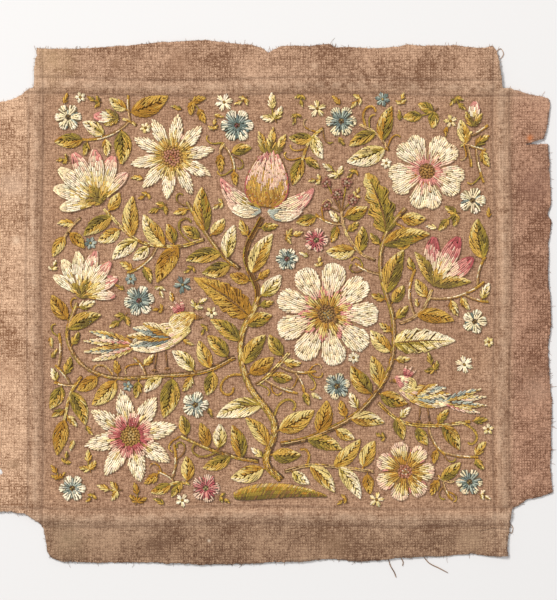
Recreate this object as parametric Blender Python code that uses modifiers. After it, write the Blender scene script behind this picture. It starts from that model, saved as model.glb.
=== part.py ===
"""Crewel embroidery panel, lying face up on a table.

One linen ground cloth, cut with four flaps that once wrapped round a pad, carries wool embroidery.
Each worked group (a stem with its leaves and tendrils, a flower, a bird) stands as one low pad on the
cloth. Three ravelled linen threads lie loose at the bottom edge. Sizes are in millimetres in the tables
and become metres in one place, mesh_object(). X runs across the panel, Y up the panel, Z off the table.
"""

from collections import namedtuple
from math import cos, pi, radians, sin

import bmesh
import bpy
import numpy as np

MM = 0.001
OBJECT_NAME = "crewel_embroidery_panel"

# Ground cloth
CLOTH_THICKNESS = 1.2
GAP = 0.3
WOOL_BASE = CLOTH_THICKNESS + GAP

# Heights of the wool above its base, at the rim and along the middle
RIM_HEIGHT = 0.5
STEM_HEIGHT = 1.0
TENDRIL_HEIGHT = 0.8
LEAF_HEIGHT = 1.2
PETAL_HEIGHT = 1.3
BERRY_HEIGHT = 1.9
CENTRE_HEIGHT = 1.7

# Depth to which a leaf or tendril runs into the stem that carries it
ROOT_DEPTH = 1.2

# The cut edge of the cloth, clockwise from the left end of the top flap. Each side is a table of (x, y).
TOP_EDGE = [(-226, 250), (-208.5, 250), (-190, 249.5), (-165, 251), (-136, 253), (-102, 256.5),
            (-64, 258), (-45, 255.5), (-20, 253.5), (-9, 250), (-4, 246), (1, 249), (8, 252.5),
            (37, 252.5), (56, 254.5), (60, 251.5), (80, 251.5), (99.5, 250), (119, 251.5),
            (128, 253.5), (152, 252.5), (173, 253.5), (190.5, 251.5), (205, 250.5), (211.5, 252.5),
            (215.5, 247)]
TOP_RIGHT_CORNER = [(218, 237), (219.5, 224.5), (221, 212), (228, 212), (232.5, 210),
                    (248, 205.5), (265.5, 202.5)]
RIGHT_EDGE = [(266.5, 196), (264.5, 183.5), (263.5, 174), (261.5, 164), (256, 160.5), (264.5, 158.5),
              (265.5, 143), (266.5, 119), (267.5, 101), (264.5, 91), (267.5, 83.5), (265.5, 66),
              (264.5, 37.5), (266.5, 8.5), (267.5, -15.5), (264.5, -34.5), (266.5, -73),
              (268.5, -87.5), (267.5, -126), (268, -135.5), (266.5, -150), (269, -176)]
BOTTOM_RIGHT_CORNER = [(257.5, -180.5), (243.5, -183.5), (237.5, -188), (231, -191), (229, -195),
                       (228, -207.5), (226, -222), (225.5, -237)]
BOTTOM_EDGE = [(214.5, -238), (190.5, -235), (171, -237), (142.5, -238), (118.5, -239),
               (94.5, -242), (85, -243), (70.5, -241), (56, -240), (32, -242), (-1.5, -243),
               (-30, -245), (-64, -245.5), (-88, -244.5), (-117, -243.5), (-145.5, -243.5),
               (-174.5, -243.5), (-203, -242), (-213, -238), (-216.5, -232.5)]
BOTTOM_LEFT_CORNER = [(-217.5, -221), (-219.5, -211.5), (-224, -204), (-232, -200),
                      (-237.5, -196.5), (-251, -194.5), (-266, -194.5)]
LEFT_EDGE = [(-267, -164), (-258.5, -157.5), (-265.5, -147), (-266.5, -125.5), (-269, 8.5),
             (-266.5, 104.5), (-267.5, 197.5)]
TOP_LEFT_CORNER = [(-256, 199.5), (-247, 202.5), (-240.5, 206), (-236.5, 210), (-229, 213),
                   (-228.5, 231), (-226.5, 243)]

# Soft ridges where the cloth was folded over its pad. "at" is the distance from the middle, and
# "across" is True for a ridge that runs along Y, so that "at" is an x.
Crease = namedtuple("Crease", "name across at half_width height wander")
CREASES = [
    Crease("left_fold", True, -228.5, 7.0, 2.6, 1.2),
    Crease("right_fold", True, 220.5, 8.0, 2.8, 1.4),
    Crease("top_fold", False, 214.0, 7.5, 2.7, 1.6),
    Crease("bottom_fold", False, -199.0, 8.5, 3.1, 1.8),
]

# Outside the folds the flaps stay this far off the table, so that the panel rests on its flat middle.
FLAP_LIFT = 0.4

# Loose linen threads at the bottom edge, as (x, y) of the middle line
Thread = namedtuple("Thread", "name radius points")
THREADS = [
    Thread("loose_thread_long", 0.55, [(111.5, -240.3), (113.5, -247), (117, -253), (118.8, -257.9)]),
    Thread("loose_thread_curved", 0.55, [(145.5, -238.6), (151, -244.5), (160, -249), (168.5, -253.5)]),
    Thread("loose_thread_short", 0.5, [(123.5, -239.3), (125.5, -243), (125, -247)]),
]

# Wool stems. Widths are at the root and at the tip, and points lie on the middle line.
Stem = namedtuple("Stem", "name root_width tip_width points")
STEMS = [
    Stem("stem_trunk", 7.5, 4.5,
         [(9, -164), (-6, -146), (2, -110), (-24, -70), (-30, -28), (-14, 12), (-26, 52), (-10, 88)]),
    Stem("stem_right", 5.5, 3.5,
         [(7.5, -130), (40, -122), (84, -98), (112, -58), (116, -12), (104, 34), (108, 70), (127.5, 97)]),
    Stem("stem_middle", 4.0, 3.5, [(-16, -73), (-4, -64), (16, -42)]),
    Stem("stem_cup", 3.5, 3.0, [(121.5, -14), (134, -9), (146, 2), (153, 19)]),
    Stem("stem_perch", 4.0, 3.0, [(101, -90), (124, -108), (156, -112), (190, -108)]),
    Stem("stem_low_right", 4.0, 3.0, [(11.5, -156), (36, -150), (66, -152), (97, -156)]),
    Stem("stem_low_left", 4.5, 3.0, [(-13, -146), (-36, -142), (-66, -132), (-88, -122)]),
    Stem("stem_left", 5.0, 3.0,
         [(-36, -46), (-66, -60), (-108, -64), (-150, -66), (-182, -54), (-197, -26), (-187.5, 6)]),
    Stem("stem_side", 3.2, 2.4, [(-183, -64), (-194, -82), (-200, -108)]),
    Stem("stem_upper", 5.0, 3.0, [(-31, 38.5), (-48, 52), (-66, 76), (-82, 103)]),
    Stem("stem_upper_left", 3.5, 3.0, [(-65, 67), (-92, 60), (-130, 66), (-162, 96)]),
    Stem("stem_berries", 3.0, 2.2, [(99, 46.5), (84, 54), (70, 74), (66, 94)]),
    Stem("stem_corner", 3.2, 2.6, [(180, 156), (188, 163), (191, 171)]),
    Stem("stem_top", 3.0, 2.4, [(112, 152), (100, 168), (83, 177)]),
    Stem("stem_bud", 3.0, 2.4, [(-130, 176), (-138, 181), (-144, 182)]),
    Stem("stem_spray", 2.8, 2.2, [(158, -160), (165, -165), (174, -166)]),
    Stem("stem_sprig_top", 2.8, 2.2, [(49, 174), (36, 162), (28, 142)]),
    Stem("stem_sprig_high", 2.8, 2.2, [(-46.5, 160), (-50, 153), (-50, 147)]),
    Stem("stem_sprig_low", 2.8, 2.2, [(-79, -168), (-90, -166), (-99, -169)]),
    Stem("stem_sprig_edge", 2.8, 2.2, [(-184, 88), (-193, 79), (-200, 68)]),
]

# Leaves on the stems. "share" is the place along the stem, "side" is 1 on its left and -1 on its right,
# "spread" is the angle from the stem, and "bend" is how far the leaf turns along its length.
Leaf = namedtuple("Leaf", "stem share side length width spread bend kind")
LEAVES = [
    Leaf("stem_trunk", 0.14, 1, 34, 14, 60, 30, "lance"),
    Leaf("stem_trunk", 0.30, 1, 44, 18, 66, 30, "lance"),
    Leaf("stem_trunk", 0.46, -1, 34, 15, 45, -20, "lance"),
    Leaf("stem_trunk", 0.60, -1, 25, 13, 50, -20, "lance"),
    Leaf("stem_trunk", 0.54, 1, 34, 14, 56, 25, "lance"),
    Leaf("stem_trunk", 0.63, 1, 64, 28, 84, 20, "toothed"),
    Leaf("stem_trunk", 0.79, -1, 42, 17, 52, -20, "lance"),
    Leaf("stem_right", 0.09, -1, 34, 14, 34, -25, "lance"),
    Leaf("stem_right", 0.13, 1, 32, 16, 52, 25, "lance"),
    Leaf("stem_right", 0.245, -1, 32, 14, 42, -25, "lance"),
    Leaf("stem_right", 0.385, 1, 30, 13, 50, 25, "lance"),
    Leaf("stem_right", 0.535, -1, 58, 26, 84, -10, "toothed"),
    Leaf("stem_right", 0.70, -1, 44, 18, 40, -25, "lance"),
    Leaf("stem_right", 0.86, -1, 46, 17, 62, -25, "lance"),
    Leaf("stem_right", 0.90, 1, 60, 28, 48, 25, "lobed"),
    Leaf("stem_low_right", 0.30, -1, 34, 14, 48, -25, "lance"),
    Leaf("stem_low_right", 0.56, 1, 36, 14, 52, 25, "lance"),
    Leaf("stem_low_right", 0.62, -1, 36, 14, 50, -25, "lance"),
    Leaf("stem_low_left", 0.22, -1, 32, 14, 62, 25, "lance"),
    Leaf("stem_low_left", 0.36, 1, 28, 13, 40, -25, "lance"),
    Leaf("stem_low_left", 0.66, -1, 24, 11, 55, 25, "lance"),
    Leaf("stem_left", 0.12, -1, 28, 13, 88, -15, "lance"),
    Leaf("stem_left", 0.34, 1, 22, 11, 40, 25, "lance"),
    Leaf("stem_left", 0.88, -1, 34, 14, 60, -30, "lance"),
    Leaf("stem_side", 0.40, 1, 34, 14, 50, -25, "lance"),
    Leaf("stem_side", 1.0, 0, 34, 14, 0, 10, "lance"),
    Leaf("stem_upper", 0.20, -1, 32, 13, 60, -25, "lance"),
    Leaf("stem_upper", 0.28, 1, 34, 14, 60, 25, "lance"),
    Leaf("stem_upper", 0.60, -1, 42, 17, 30, -20, "lance"),
    Leaf("stem_upper_left", 0.24, 1, 40, 17, 52, 25, "lance"),
    Leaf("stem_upper_left", 0.36, -1, 36, 16, 56, -25, "lance"),
    Leaf("stem_upper_left", 0.66, -1, 38, 15, 55, -25, "lance"),
    Leaf("stem_upper_left", 0.60, 1, 30, 14, 56, 25, "lance"),
    Leaf("stem_upper_left", 0.90, 1, 32, 14, 80, 25, "lance"),
    Leaf("stem_perch", 0.24, -1, 21, 11, 40, -15, "lance"),
    Leaf("stem_perch", 0.72, -1, 28, 13, 60, -25, "lance"),
    Leaf("stem_cup", 0.40, -1, 36, 14, 50, -25, "lance"),
    Leaf("stem_top", 0.30, -1, 34, 14, 50, -25, "lance"),
    Leaf("stem_top", 0.55, 1, 28, 12, 60, 25, "lance"),
    Leaf("stem_corner", 0.30, 1, 22, 11, 62, 15, "lance"),
    Leaf("stem_spray", 0.30, 1, 24, 11, 80, 15, "lance"),
    Leaf("stem_berries", 0.30, -1, 24, 12, 50, 20, "lance"),
    Leaf("stem_sprig_top", 0.30, 1, 24, 11, 60, 25, "lance"),
    Leaf("stem_sprig_top", 0.38, -1, 22, 11, 50, -20, "lance"),
    Leaf("stem_sprig_top", 1.0, 0, 26, 12, 0, 15, "lance"),
    Leaf("stem_sprig_high", 1.0, 0, 17, 9, 0, 15, "lance"),
    Leaf("stem_sprig_low", 0.40, 1, 17, 9, 60, 15, "lance"),
    Leaf("stem_sprig_low", 1.0, 0, 20, 10, 0, -15, "lance"),
    Leaf("stem_sprig_edge", 0.35, -1, 16, 8, 50, 15, "lance"),
    Leaf("stem_sprig_edge", 1.0, 0, 22, 10, 0, 15, "lance"),
]

# Tendrils, which turn tighter towards the tip. Turns are in degrees per millimetre.
Tendril = namedtuple("Tendril", "stem share side spread length first_turn last_turn")
TENDRILS = [
    Tendril("stem_trunk", 0.24, -1, 40, 40, -1, -14),
    Tendril("stem_trunk", 0.42, 1, 60, 50, 2, 13),
    Tendril("stem_right", 0.94, -1, 70, 46, -1.5, -12),
    Tendril("stem_left", 0.55, -1, 50, 30, 1, 14),
    Tendril("stem_upper_left", 0.12, -1, 50, 40, -1, -14),
    Tendril("stem_low_right", 0.26, 1, 60, 22, 1, 17),
    Tendril("stem_perch", 0.92, -1, 30, 34, -1, -14),
    Tendril("stem_low_left", 0.52, 1, 50, 40, -1, -15),
    Tendril("stem_top", 0.80, -1, 40, 34, -1, -16),
]

# Berries on short stalks at the end of one stem
Berry = namedtuple("Berry", "x y radius")
BERRIES = [
    Berry(62, 110, 6.0),
    Berry(77, 105, 5.5),
    Berry(52, 99, 5.0),
    Berry(71, 121, 5.5),
    Berry(52, 121, 5.0),
]

# Flowers worked round a centre. "notch" is the radius between petals as a share of the full radius.
Rosette = namedtuple("Rosette", "name x y radius petals turn form notch")
ROSETTES = [
    Rosette("flower_wheel", -96, 146, 42, 10, 10, "point", 0.45),
    Rosette("flower_round", 52, -5, 50, 9, 0, "round", 0.52),
    Rosette("flower_five", 148, 132, 38, 5, -20, "heart", 0.45),
    Rosette("flower_star", -136, -122, 46, 8, 12, "point", 0.42),
    Rosette("flower_seven", 127, -156, 29, 7, 0, "round", 0.5),
    Rosette("blossom_top_right", 66, 180, 15, 6, 0, "round", 0.5),
    Rosette("blossom_right", 194, -12, 12, 5, 0, "round", 0.5),
    Rosette("blossom_left", -128, 8, 15, 6, 10, "round", 0.5),
    Rosette("blossom_foot", -64, -172, 14, 5, 0, "round", 0.5),
    Rosette("blossom_low_left", -192, -172, 13, 6, 0, "round", 0.5),
    Rosette("blossom_middle", 62, -74, 13, 6, 15, "round", 0.5),
    Rosette("blossom_high_right", 192, 104, 13, 5, 0, "round", 0.5),
    Rosette("blossom_top", -34, 176, 16, 6, 0, "round", 0.5),
    Rosette("blossom_inner", 42, 66, 12, 5, 0, "round", 0.5),
    Rosette("blossom_near_star", -74, -92, 13, 5, 0, "round", 0.5),
    Rosette("blossom_low_right", 189, -166, 13, 6, 0, "round", 0.5),
    Rosette("blossom_top_left", -196, 184, 13, 6, 0, "round", 0.5),
    Rosette("blossom_small", 14, 48, 11, 6, 0, "round", 0.5),
]

# Groups of lobes laid out from one point. In each lobe x runs along the group and y to its left.
Lobe = namedtuple("Lobe", "x y angle length width bend kind")
FAN_FLOWER = [
    Lobe(2.7, -7.5, -70, 32, 13, -30, "petal"),
    Lobe(2.7, 7.5, 70, 32, 13, 30, "petal"),
    Lobe(5.8, -5.6, -44, 40, 16, -15, "petal"),
    Lobe(5.8, 5.6, 44, 40, 16, 15, "petal"),
    Lobe(7.4, -3.0, -22, 45, 16, -5, "petal"),
    Lobe(7.4, 3.0, 22, 45, 16, 5, "petal"),
    Lobe(8, 0, 0, 48, 16, 0, "petal"),
    Lobe(0, 0, 0, 22, 13, 0, "broad"),
    Lobe(0, 0, -64, 18, 7, -60, "lance"),
    Lobe(0, 0, 64, 18, 7, 60, "lance"),
]
CUP_FLOWER = [
    Lobe(5.4, -2.6, -26, 42, 16, 25, "petal"),
    Lobe(5.4, 2.6, 26, 42, 16, -25, "petal"),
    Lobe(4, 0, 0, 50, 18, 0, "petal"),
    Lobe(1.7, -2.5, -56, 34, 11, -30, "lance"),
    Lobe(1.7, 2.5, 56, 34, 11, 30, "lance"),
    Lobe(0, 0, 0, 14, 10, 0, "broad"),
]
FRUIT = [
    Lobe(4, 0, 0, 60, 42, 0, "broad"),
    Lobe(2, 3, 58, 52, 18, -60, "lance"),
    Lobe(2, -3, -58, 52, 18, 60, "lance"),
    Lobe(2, 3, 84, 36, 13, -70, "lance"),
    Lobe(2, -3, -84, 36, 13, 70, "lance"),
    Lobe(56, -5, -22, 22, 9, -10, "lance"),
    Lobe(56, 5, 22, 22, 9, 10, "lance"),
    Lobe(56, 0, 0, 26, 9, 0, "lance"),
]
BIRD = [
    Lobe(-20, -4, 160, 42, 8, 8, "lance"),
    Lobe(-20, -5, 171, 46, 8, 4, "lance"),
    Lobe(-20, -6, 182, 46, 8, -6, "lance"),
    Lobe(-20, -7, 193, 40, 7, -12, "lance"),
    Lobe(-24, -6, 14, 58, 25, 6, "body"),
    Lobe(14, 8, 28, 26, 19, 0, "broad"),
    Lobe(33, 17, -8, 11, 5, 0, "lance"),
    Lobe(12, 1, 150, 26, 9, 20, "lance"),
    Lobe(12, 0, 162, 34, 9, 16, "lance"),
    Lobe(12, -1, 173, 38, 9, 12, "lance"),
    Lobe(11, -3, 184, 36, 8, 8, "lance"),
    Lobe(26, 22, 96, 12, 4, 30, "lance"),
    Lobe(24, 21, 116, 13, 4, 34, "lance"),
    Lobe(22, 20, 134, 12, 4, 34, "lance"),
    Lobe(0, -12, -100, 16, 2.2, 0, "leg"),
    Lobe(8, -11, -88, 16, 2.2, 0, "leg"),
]
BUD = [
    Lobe(2, 0, 0, 22, 12, 0, "petal"),
    Lobe(0, 0, -30, 15, 7, 20, "lance"),
    Lobe(0, 0, 30, 15, 7, -20, "lance"),
]
MOUND = [Lobe(0, 0, 0, 92, 15, -28, "broad")]

Group = namedtuple("Group", "name lobes x y heading scale mirror")
GROUPS = [
    Group("mound", MOUND, -38, -180, 0, 1.0, 1),
    Group("fan_flower_upper", FAN_FLOWER, -165, 101, 118, 1.0, 1),
    Group("fan_flower_left", FAN_FLOWER, -184, 11, 72, 0.85, 1),
    Group("cup_flower", CUP_FLOWER, 154, 22, 62, 1.0, 1),
    Group("fruit", FRUIT, -8, 93, 84, 1.0, 1),
    Group("bird_left", BIRD, -112, -28, 4, 1.06, 1),
    Group("bird_right", BIRD, 149, -84, 178, 0.86, -1),
    Group("bud_corner", BUD, 192, 175.5, 84, 1.0, 1),
    Group("bud_top", BUD, -148, 183, 176, 1.0, 1),
]


def leaf_half_width(kind, u):
    """Half width of a leaf or lobe as a share of its full half width, for u from 0 at its base to 1."""
    if kind == "lance":
        return np.sin(pi * u**0.8) ** 0.85
    if kind == "broad":
        return np.sin(pi * u**0.62) ** 0.7
    if kind == "petal":
        return np.sin(pi * u**1.35 * 0.97 + 0.05) ** 0.75
    if kind == "body":
        return np.sin(pi * u**0.9 * 0.94 + 0.06) ** 0.8
    if kind == "lobed":
        return np.sin(pi * u**0.7) ** 0.55 * (0.80 - 0.20 * np.cos(8 * pi * u))
    if kind == "toothed":
        return np.sin(pi * u**0.6) ** 0.8 * (1 - 0.26 * ((u * 6) % 1))
    return 0.8 + 0 * u


def petal_edge(form, across):
    """Radius of a petal from 0 between petals to 1 at its middle, for across from -1 to 1."""
    if form == "round":
        return (1 - np.abs(across) ** 2.6) ** 0.5
    if form == "point":
        return (1 - np.abs(across)) ** 0.75
    if form == "heart":
        return (1 - np.abs(across) ** 3) ** 0.5 * (1 - 0.16 * np.exp(-((across / 0.22) ** 2)))
    return 1 + 0 * across


def smooth_path(points, steps):
    """A curve through the points (Catmull-Rom), with so many steps between two of them."""
    given = np.array(points, float)
    ends = np.vstack([2 * given[0] - given[1], given, 2 * given[-1] - given[-2]])
    made = []
    for i in range(1, len(ends) - 2):
        t = np.linspace(0, 1, steps, endpoint=False)[:, None]
        a, b, c, d = ends[i - 1], ends[i], ends[i + 1], ends[i + 2]
        made.append(b + 0.5 * ((c - a) * t + (2 * a - 5 * b + 4 * c - d) * t**2
                               + (3 * b - a - 3 * c + d) * t**3))
    return np.vstack(made + [given[-1:]])


def place_on_path(path, share):
    """The point at a share of a path's length, and its heading in radians."""
    steps = np.diff(path, axis=0)
    run = np.concatenate([[0], np.cumsum(np.hypot(steps[:, 0], steps[:, 1]))])
    place = share * run[-1]
    i = min(int(np.searchsorted(run, place, side="right")) - 1, len(steps) - 1)
    point = path[i] + steps[i] * (place - run[i]) / (run[i + 1] - run[i])
    return point, np.arctan2(steps[i, 1], steps[i, 0])


def band(path, half_widths):
    """Rows of three points (right edge, middle, left edge) along a path."""
    heading = np.gradient(path, axis=0)
    heading /= np.hypot(heading[:, 0], heading[:, 1])[:, None]
    left = np.stack([-heading[:, 1], heading[:, 0]], axis=1) * half_widths[:, None]
    return np.stack([path - left, path, path + left], axis=1)


def leaf_rows(start, heading, length, width, bend, kind):
    """Rows of three points for a leaf whose middle line turns by bend along its length."""
    count = {"toothed": 19, "lobed": 17, "leg": 2}.get(kind, 7 if length > 40 else 6)
    u = np.linspace(0, 1, count)
    if kind == "toothed":
        u = np.sort(np.concatenate([np.arange(7) / 6, np.arange(1, 6) / 6 - 0.008,
                                    (np.arange(6) + 0.5) / 6]))
    turn = heading + bend * (u - 0.5)
    step = np.stack([np.cos(turn), np.sin(turn)], axis=1)
    middle = (step[1:] + step[:-1]) / 2 * np.diff(u)[:, None] * length
    spine = np.vstack([start, start + np.cumsum(middle, axis=0)])
    half = np.maximum(leaf_half_width(kind, np.clip(u, 0, 1)) * width / 2, 0.35)
    return band(spine, half)


def tendril_rows(start, heading, tendril):
    """Rows of three points for a tendril that curls tighter as it goes."""
    s = np.linspace(0, 1, 12)
    rate = tendril.first_turn + (tendril.last_turn - tendril.first_turn) * s**1.6
    turn = heading + np.radians(np.concatenate([[0], np.cumsum((rate[1:] + rate[:-1]) / 2)
                                                * tendril.length / 11]))
    step = np.stack([np.cos(turn), np.sin(turn)], axis=1)
    path = start + np.vstack([[0, 0], np.cumsum((step[1:] + step[:-1]) / 2, axis=0)
                              * tendril.length / 11])
    return band(path, np.linspace(1.0, 0.8, len(path)))


def rosette_rings(rosette):
    """Rings of points round a flower's centre, the last equal to the first, and their heights."""
    sides = rosette.petals * 6 if rosette.radius > 20 else rosette.petals * 4
    if rosette.form == "disc":
        sides = 12
    angle = np.linspace(0, 2 * pi, sides + 1)
    across = ((angle * rosette.petals / (2 * pi) + 0.5) % 1) * 2 - 1
    reach = rosette.notch + (1 - rosette.notch) * petal_edge(rosette.form, across)
    shares = [(0, CENTRE_HEIGHT), (0.24, CENTRE_HEIGHT - 0.3), (0.62, PETAL_HEIGHT), (1, RIM_HEIGHT)]
    if rosette.radius < 20:
        shares = [(0, CENTRE_HEIGHT), (0.6, PETAL_HEIGHT - 0.2), (1, RIM_HEIGHT)]
    if rosette.form == "disc":
        shares = [(0, BERRY_HEIGHT), (0.7, BERRY_HEIGHT - 0.4), (1, RIM_HEIGHT + 0.2)]
    turned = angle + radians(rosette.turn)
    around = np.stack([np.cos(turned), np.sin(turned)], axis=1)
    points = []
    heights = []
    for share, height in shares:
        inner = min(share / 0.24, 1) * 0.24 * rosette.notch
        radius = rosette.radius * (reach * share if share > 0.3 else inner + 0 * reach)
        points.append(around * radius[:, None] + [rosette.x, rosette.y])
        heights.append(np.full(sides + 1, height))
    return np.array(points), np.array(heights)


def ridge_heights(rows, height):
    """Heights for rows of three points: low at both edges, high along the middle, low at the ends."""
    share = np.linspace(0, 1, len(rows))
    rise = np.minimum(1, 0.55 + 2.2 * np.minimum(share, 1 - share))
    middle = RIM_HEIGHT + (height - RIM_HEIGHT) * rise
    return np.stack([np.full(len(rows), RIM_HEIGHT), middle, np.full(len(rows), RIM_HEIGHT)], axis=1)


def stem_pads(stem):
    """Every pad of one stem: (rows of points, heights) of the stem, its leaves and its tendrils."""
    path = smooth_path(stem.points, 3)
    widths = np.linspace(stem.root_width, stem.tip_width, len(path))
    rows = band(path, widths / 2)
    pads = [(rows, ridge_heights(rows, STEM_HEIGHT))]
    for side_shoot in [row for row in LEAVES + TENDRILS if row.stem == stem.name]:
        point, heading = place_on_path(path, side_shoot.share)
        half = np.interp(side_shoot.share, [0, 1], [stem.root_width, stem.tip_width]) / 2
        out = heading + side_shoot.side * pi / 2
        root = abs(side_shoot.side) * (half - ROOT_DEPTH)
        start = point + np.array([cos(out), sin(out)]) * root
        if not side_shoot.side:
            start = point - np.array([cos(heading), sin(heading)]) * ROOT_DEPTH
        aim = heading + side_shoot.side * radians(side_shoot.spread)
        if isinstance(side_shoot, Leaf):
            rows = leaf_rows(start, aim, side_shoot.length, side_shoot.width,
                             radians(side_shoot.bend), side_shoot.kind)
            pads.append((rows, ridge_heights(rows, LEAF_HEIGHT)))
        else:
            rows = tendril_rows(start, aim, side_shoot)
            pads.append((rows, ridge_heights(rows, TENDRIL_HEIGHT)))
    if stem.name == "stem_berries":
        pads += berry_pads(path[-1])
    return pads


def berry_pads(tip):
    """The berries, each on a straight stalk from the stem's tip."""
    pads = []
    for berry in BERRIES:
        stalk = np.linspace(tip - [0, 1.5], [berry.x, berry.y], 3)
        rows = band(stalk, np.full(3, 0.8))
        pads.append((rows, ridge_heights(rows, TENDRIL_HEIGHT)))
        pads.append(rosette_rings(Rosette("berry", berry.x, berry.y, berry.radius, 1, 0, "disc", 1)))
    return pads


def group_pads(group):
    """Every lobe of a group, turned and moved to its place."""
    heading = radians(group.heading)
    along = np.array([cos(heading), sin(heading)]) * group.scale
    left = np.array([-sin(heading), cos(heading)]) * group.scale * group.mirror
    pads = []
    for lobe in group.lobes:
        start = np.array([group.x, group.y]) + lobe.x * along + lobe.y * left
        aim = heading + radians(lobe.angle) * group.mirror
        rows = leaf_rows(start, aim, lobe.length * group.scale, lobe.width * group.scale,
                         radians(lobe.bend) * group.mirror, lobe.kind)
        top = PETAL_HEIGHT if lobe.kind in ("petal", "broad", "body") else LEAF_HEIGHT
        pads.append((rows, ridge_heights(rows, top)))
    return pads


def fold_height(x, y):
    """Height of the underside of the cloth: soft ridges at the folds, slight waves on the flaps."""
    lift = np.zeros_like(x)
    for crease in CREASES:
        run, off = (y, x) if crease.across else (x, y)
        line = crease.at + crease.wander * np.sin(run / 47 + crease.at)
        share = np.clip(np.abs(off - line) / crease.half_width, 0, 1)
        swell = 0.8 + 0.2 * np.sin(run / 31 + crease.at)
        lift = np.maximum(lift, crease.height * swell * (1 - share**2) ** 2)
        outward = (off - line) * np.sign(crease.at) / crease.half_width
        lift = np.maximum(lift, FLAP_LIFT * np.clip(outward, 0, 1))
    beyond = np.maximum(np.abs(x) - 236, np.abs(y) - 212)
    wave = 0.45 * (1 + np.sin(x / 17 + 0.6)) * (1 + np.sin(y / 23 + 1.1))
    return lift + np.clip(beyond / 16, 0, 1) * wave


def sheet_lines(axis):
    """Grid lines across the cloth, close together at the folds and far apart on the flat field."""
    low, high = [c for c in CREASES if c.across == (axis == "x")]
    lines = [-275, 275]
    for crease in (low, high):
        lines += [crease.at + offset for offset in (-10.5, -5.5, -2, 2, 5.5, 10.5)]
    lines += list(np.linspace(min(low.at, high.at) + 24, max(low.at, high.at) - 24, 7))
    lines += [-258, -246, 246, 258]
    return np.array(sorted(set(np.round(lines, 1))))


def tube_points(thread):
    """Rings of six points round a loose thread."""
    path = smooth_path(thread.points, 4)
    heading = np.gradient(path, axis=0)
    heading /= np.hypot(heading[:, 0], heading[:, 1])[:, None]
    left = np.stack([-heading[:, 1], heading[:, 0], 0 * heading[:, 0]], axis=1)
    turns = np.arange(6) * pi / 3 + pi / 6
    centre = np.column_stack([path, np.full(len(path), thread.radius)])
    up = np.array([0, 0, 1.0])
    return centre[:, None] + thread.radius * (np.cos(turns)[None, :, None] * left[:, None]
                                              + np.sin(turns)[None, :, None] * up)


# From here on: Blender

def clear_scene():
    for obj in list(bpy.data.objects):
        bpy.data.objects.remove(obj, do_unlink=True)


def new_collection(name, parent, helper=False):
    made = bpy.data.collections.new(name)
    made.hide_render = helper
    parent.children.link(made)
    return made


def new_material(name, colour, roughness):
    made = bpy.data.materials.new(name)
    made.use_nodes = True
    shader = made.node_tree.nodes["Principled BSDF"]
    shader.inputs["Base Color"].default_value = (*colour, 1)
    shader.inputs["Roughness"].default_value = roughness
    shader.inputs["Metallic"].default_value = 0
    made.diffuse_color = (*colour, 1)
    return made


def mesh_object(name, bm, collection, helper=False, closed=True):
    """Turns a bmesh in millimetres into an object in metres."""
    if closed:
        bmesh.ops.recalc_face_normals(bm, faces=bm.faces)
    bmesh.ops.scale(bm, vec=(MM, MM, MM), verts=bm.verts)
    mesh = bpy.data.meshes.new(name)
    bm.to_mesh(mesh)
    bm.free()
    obj = bpy.data.objects.new(name, mesh)
    collection.objects.link(obj)
    if helper:
        obj.hide_render = True
        obj.display_type = "WIRE"
    return obj


def grid_bmesh(points):
    """A flat grid of quads through rows of points, welded where it meets itself."""
    rows, columns = points.shape[:2]
    bm = bmesh.new()
    made = bmesh.ops.create_grid(bm, x_segments=columns - 1, y_segments=rows - 1, size=1)
    for vert, point in zip(made["verts"], points.reshape(-1, points.shape[2])):
        vert.co = (*point, WOOL_BASE) if len(point) == 2 else point
    return bm


def pad_object(name, pad, collection, helper=False):
    """A pad of wool: a flat grid, extruded up and domed to its heights."""
    points, heights = pad
    bm = grid_bmesh(points)
    height_of = bm.verts.layers.float.new("height")
    for vert, height in zip(bm.verts, heights.reshape(-1)):
        vert[height_of] = height
    bmesh.ops.remove_doubles(bm, verts=bm.verts, dist=1e-4)
    made = bmesh.ops.extrude_face_region(bm, geom=bm.faces[:] + bm.edges[:] + bm.verts[:],
                                         use_keep_orig=True)
    for vert in [item for item in made["geom"] if isinstance(item, bmesh.types.BMVert)]:
        vert.co.z += vert[height_of]
    return mesh_object(name, bm, collection, helper)


def united_object(name, pads, collection, helpers, material):
    """One solid from several pads: the first takes the others in by a Boolean union."""
    main = pad_object(name, pads[0], collection)
    main.data.materials.append(material)
    if len(pads) > 1:
        group = new_collection(f"{name}_pads", helpers, helper=True)
        for index, pad in enumerate(pads[1:], 1):
            pad_object(f"{name}_pad_{index:02d}", pad, group, helper=True)
        union = main.modifiers.new("join_pads", "BOOLEAN")
        union.operation = "UNION"
        union.operand_type = "COLLECTION"
        union.collection = group
        union.solver = "EXACT"
    return main


def cloth_outline():
    sides = [TOP_EDGE, TOP_RIGHT_CORNER, RIGHT_EDGE, BOTTOM_RIGHT_CORNER,
             BOTTOM_EDGE, BOTTOM_LEFT_CORNER, LEFT_EDGE, TOP_LEFT_CORNER]
    return [point for side in sides for point in side]


def outline_cutter(helpers):
    """A tall prism with the outline of the cut cloth."""
    bm = bmesh.new()
    corners = [bm.verts.new((x, y, -20)) for x, y in cloth_outline()]
    face = bm.faces.new(corners)
    made = bmesh.ops.extrude_face_region(bm, geom=[face], use_keep_orig=True)
    top = [item for item in made["geom"] if isinstance(item, bmesh.types.BMVert)]
    bmesh.ops.translate(bm, vec=(0, 0, 40), verts=top)
    return mesh_object("cloth_outline", bm, helpers, helper=True)


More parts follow.
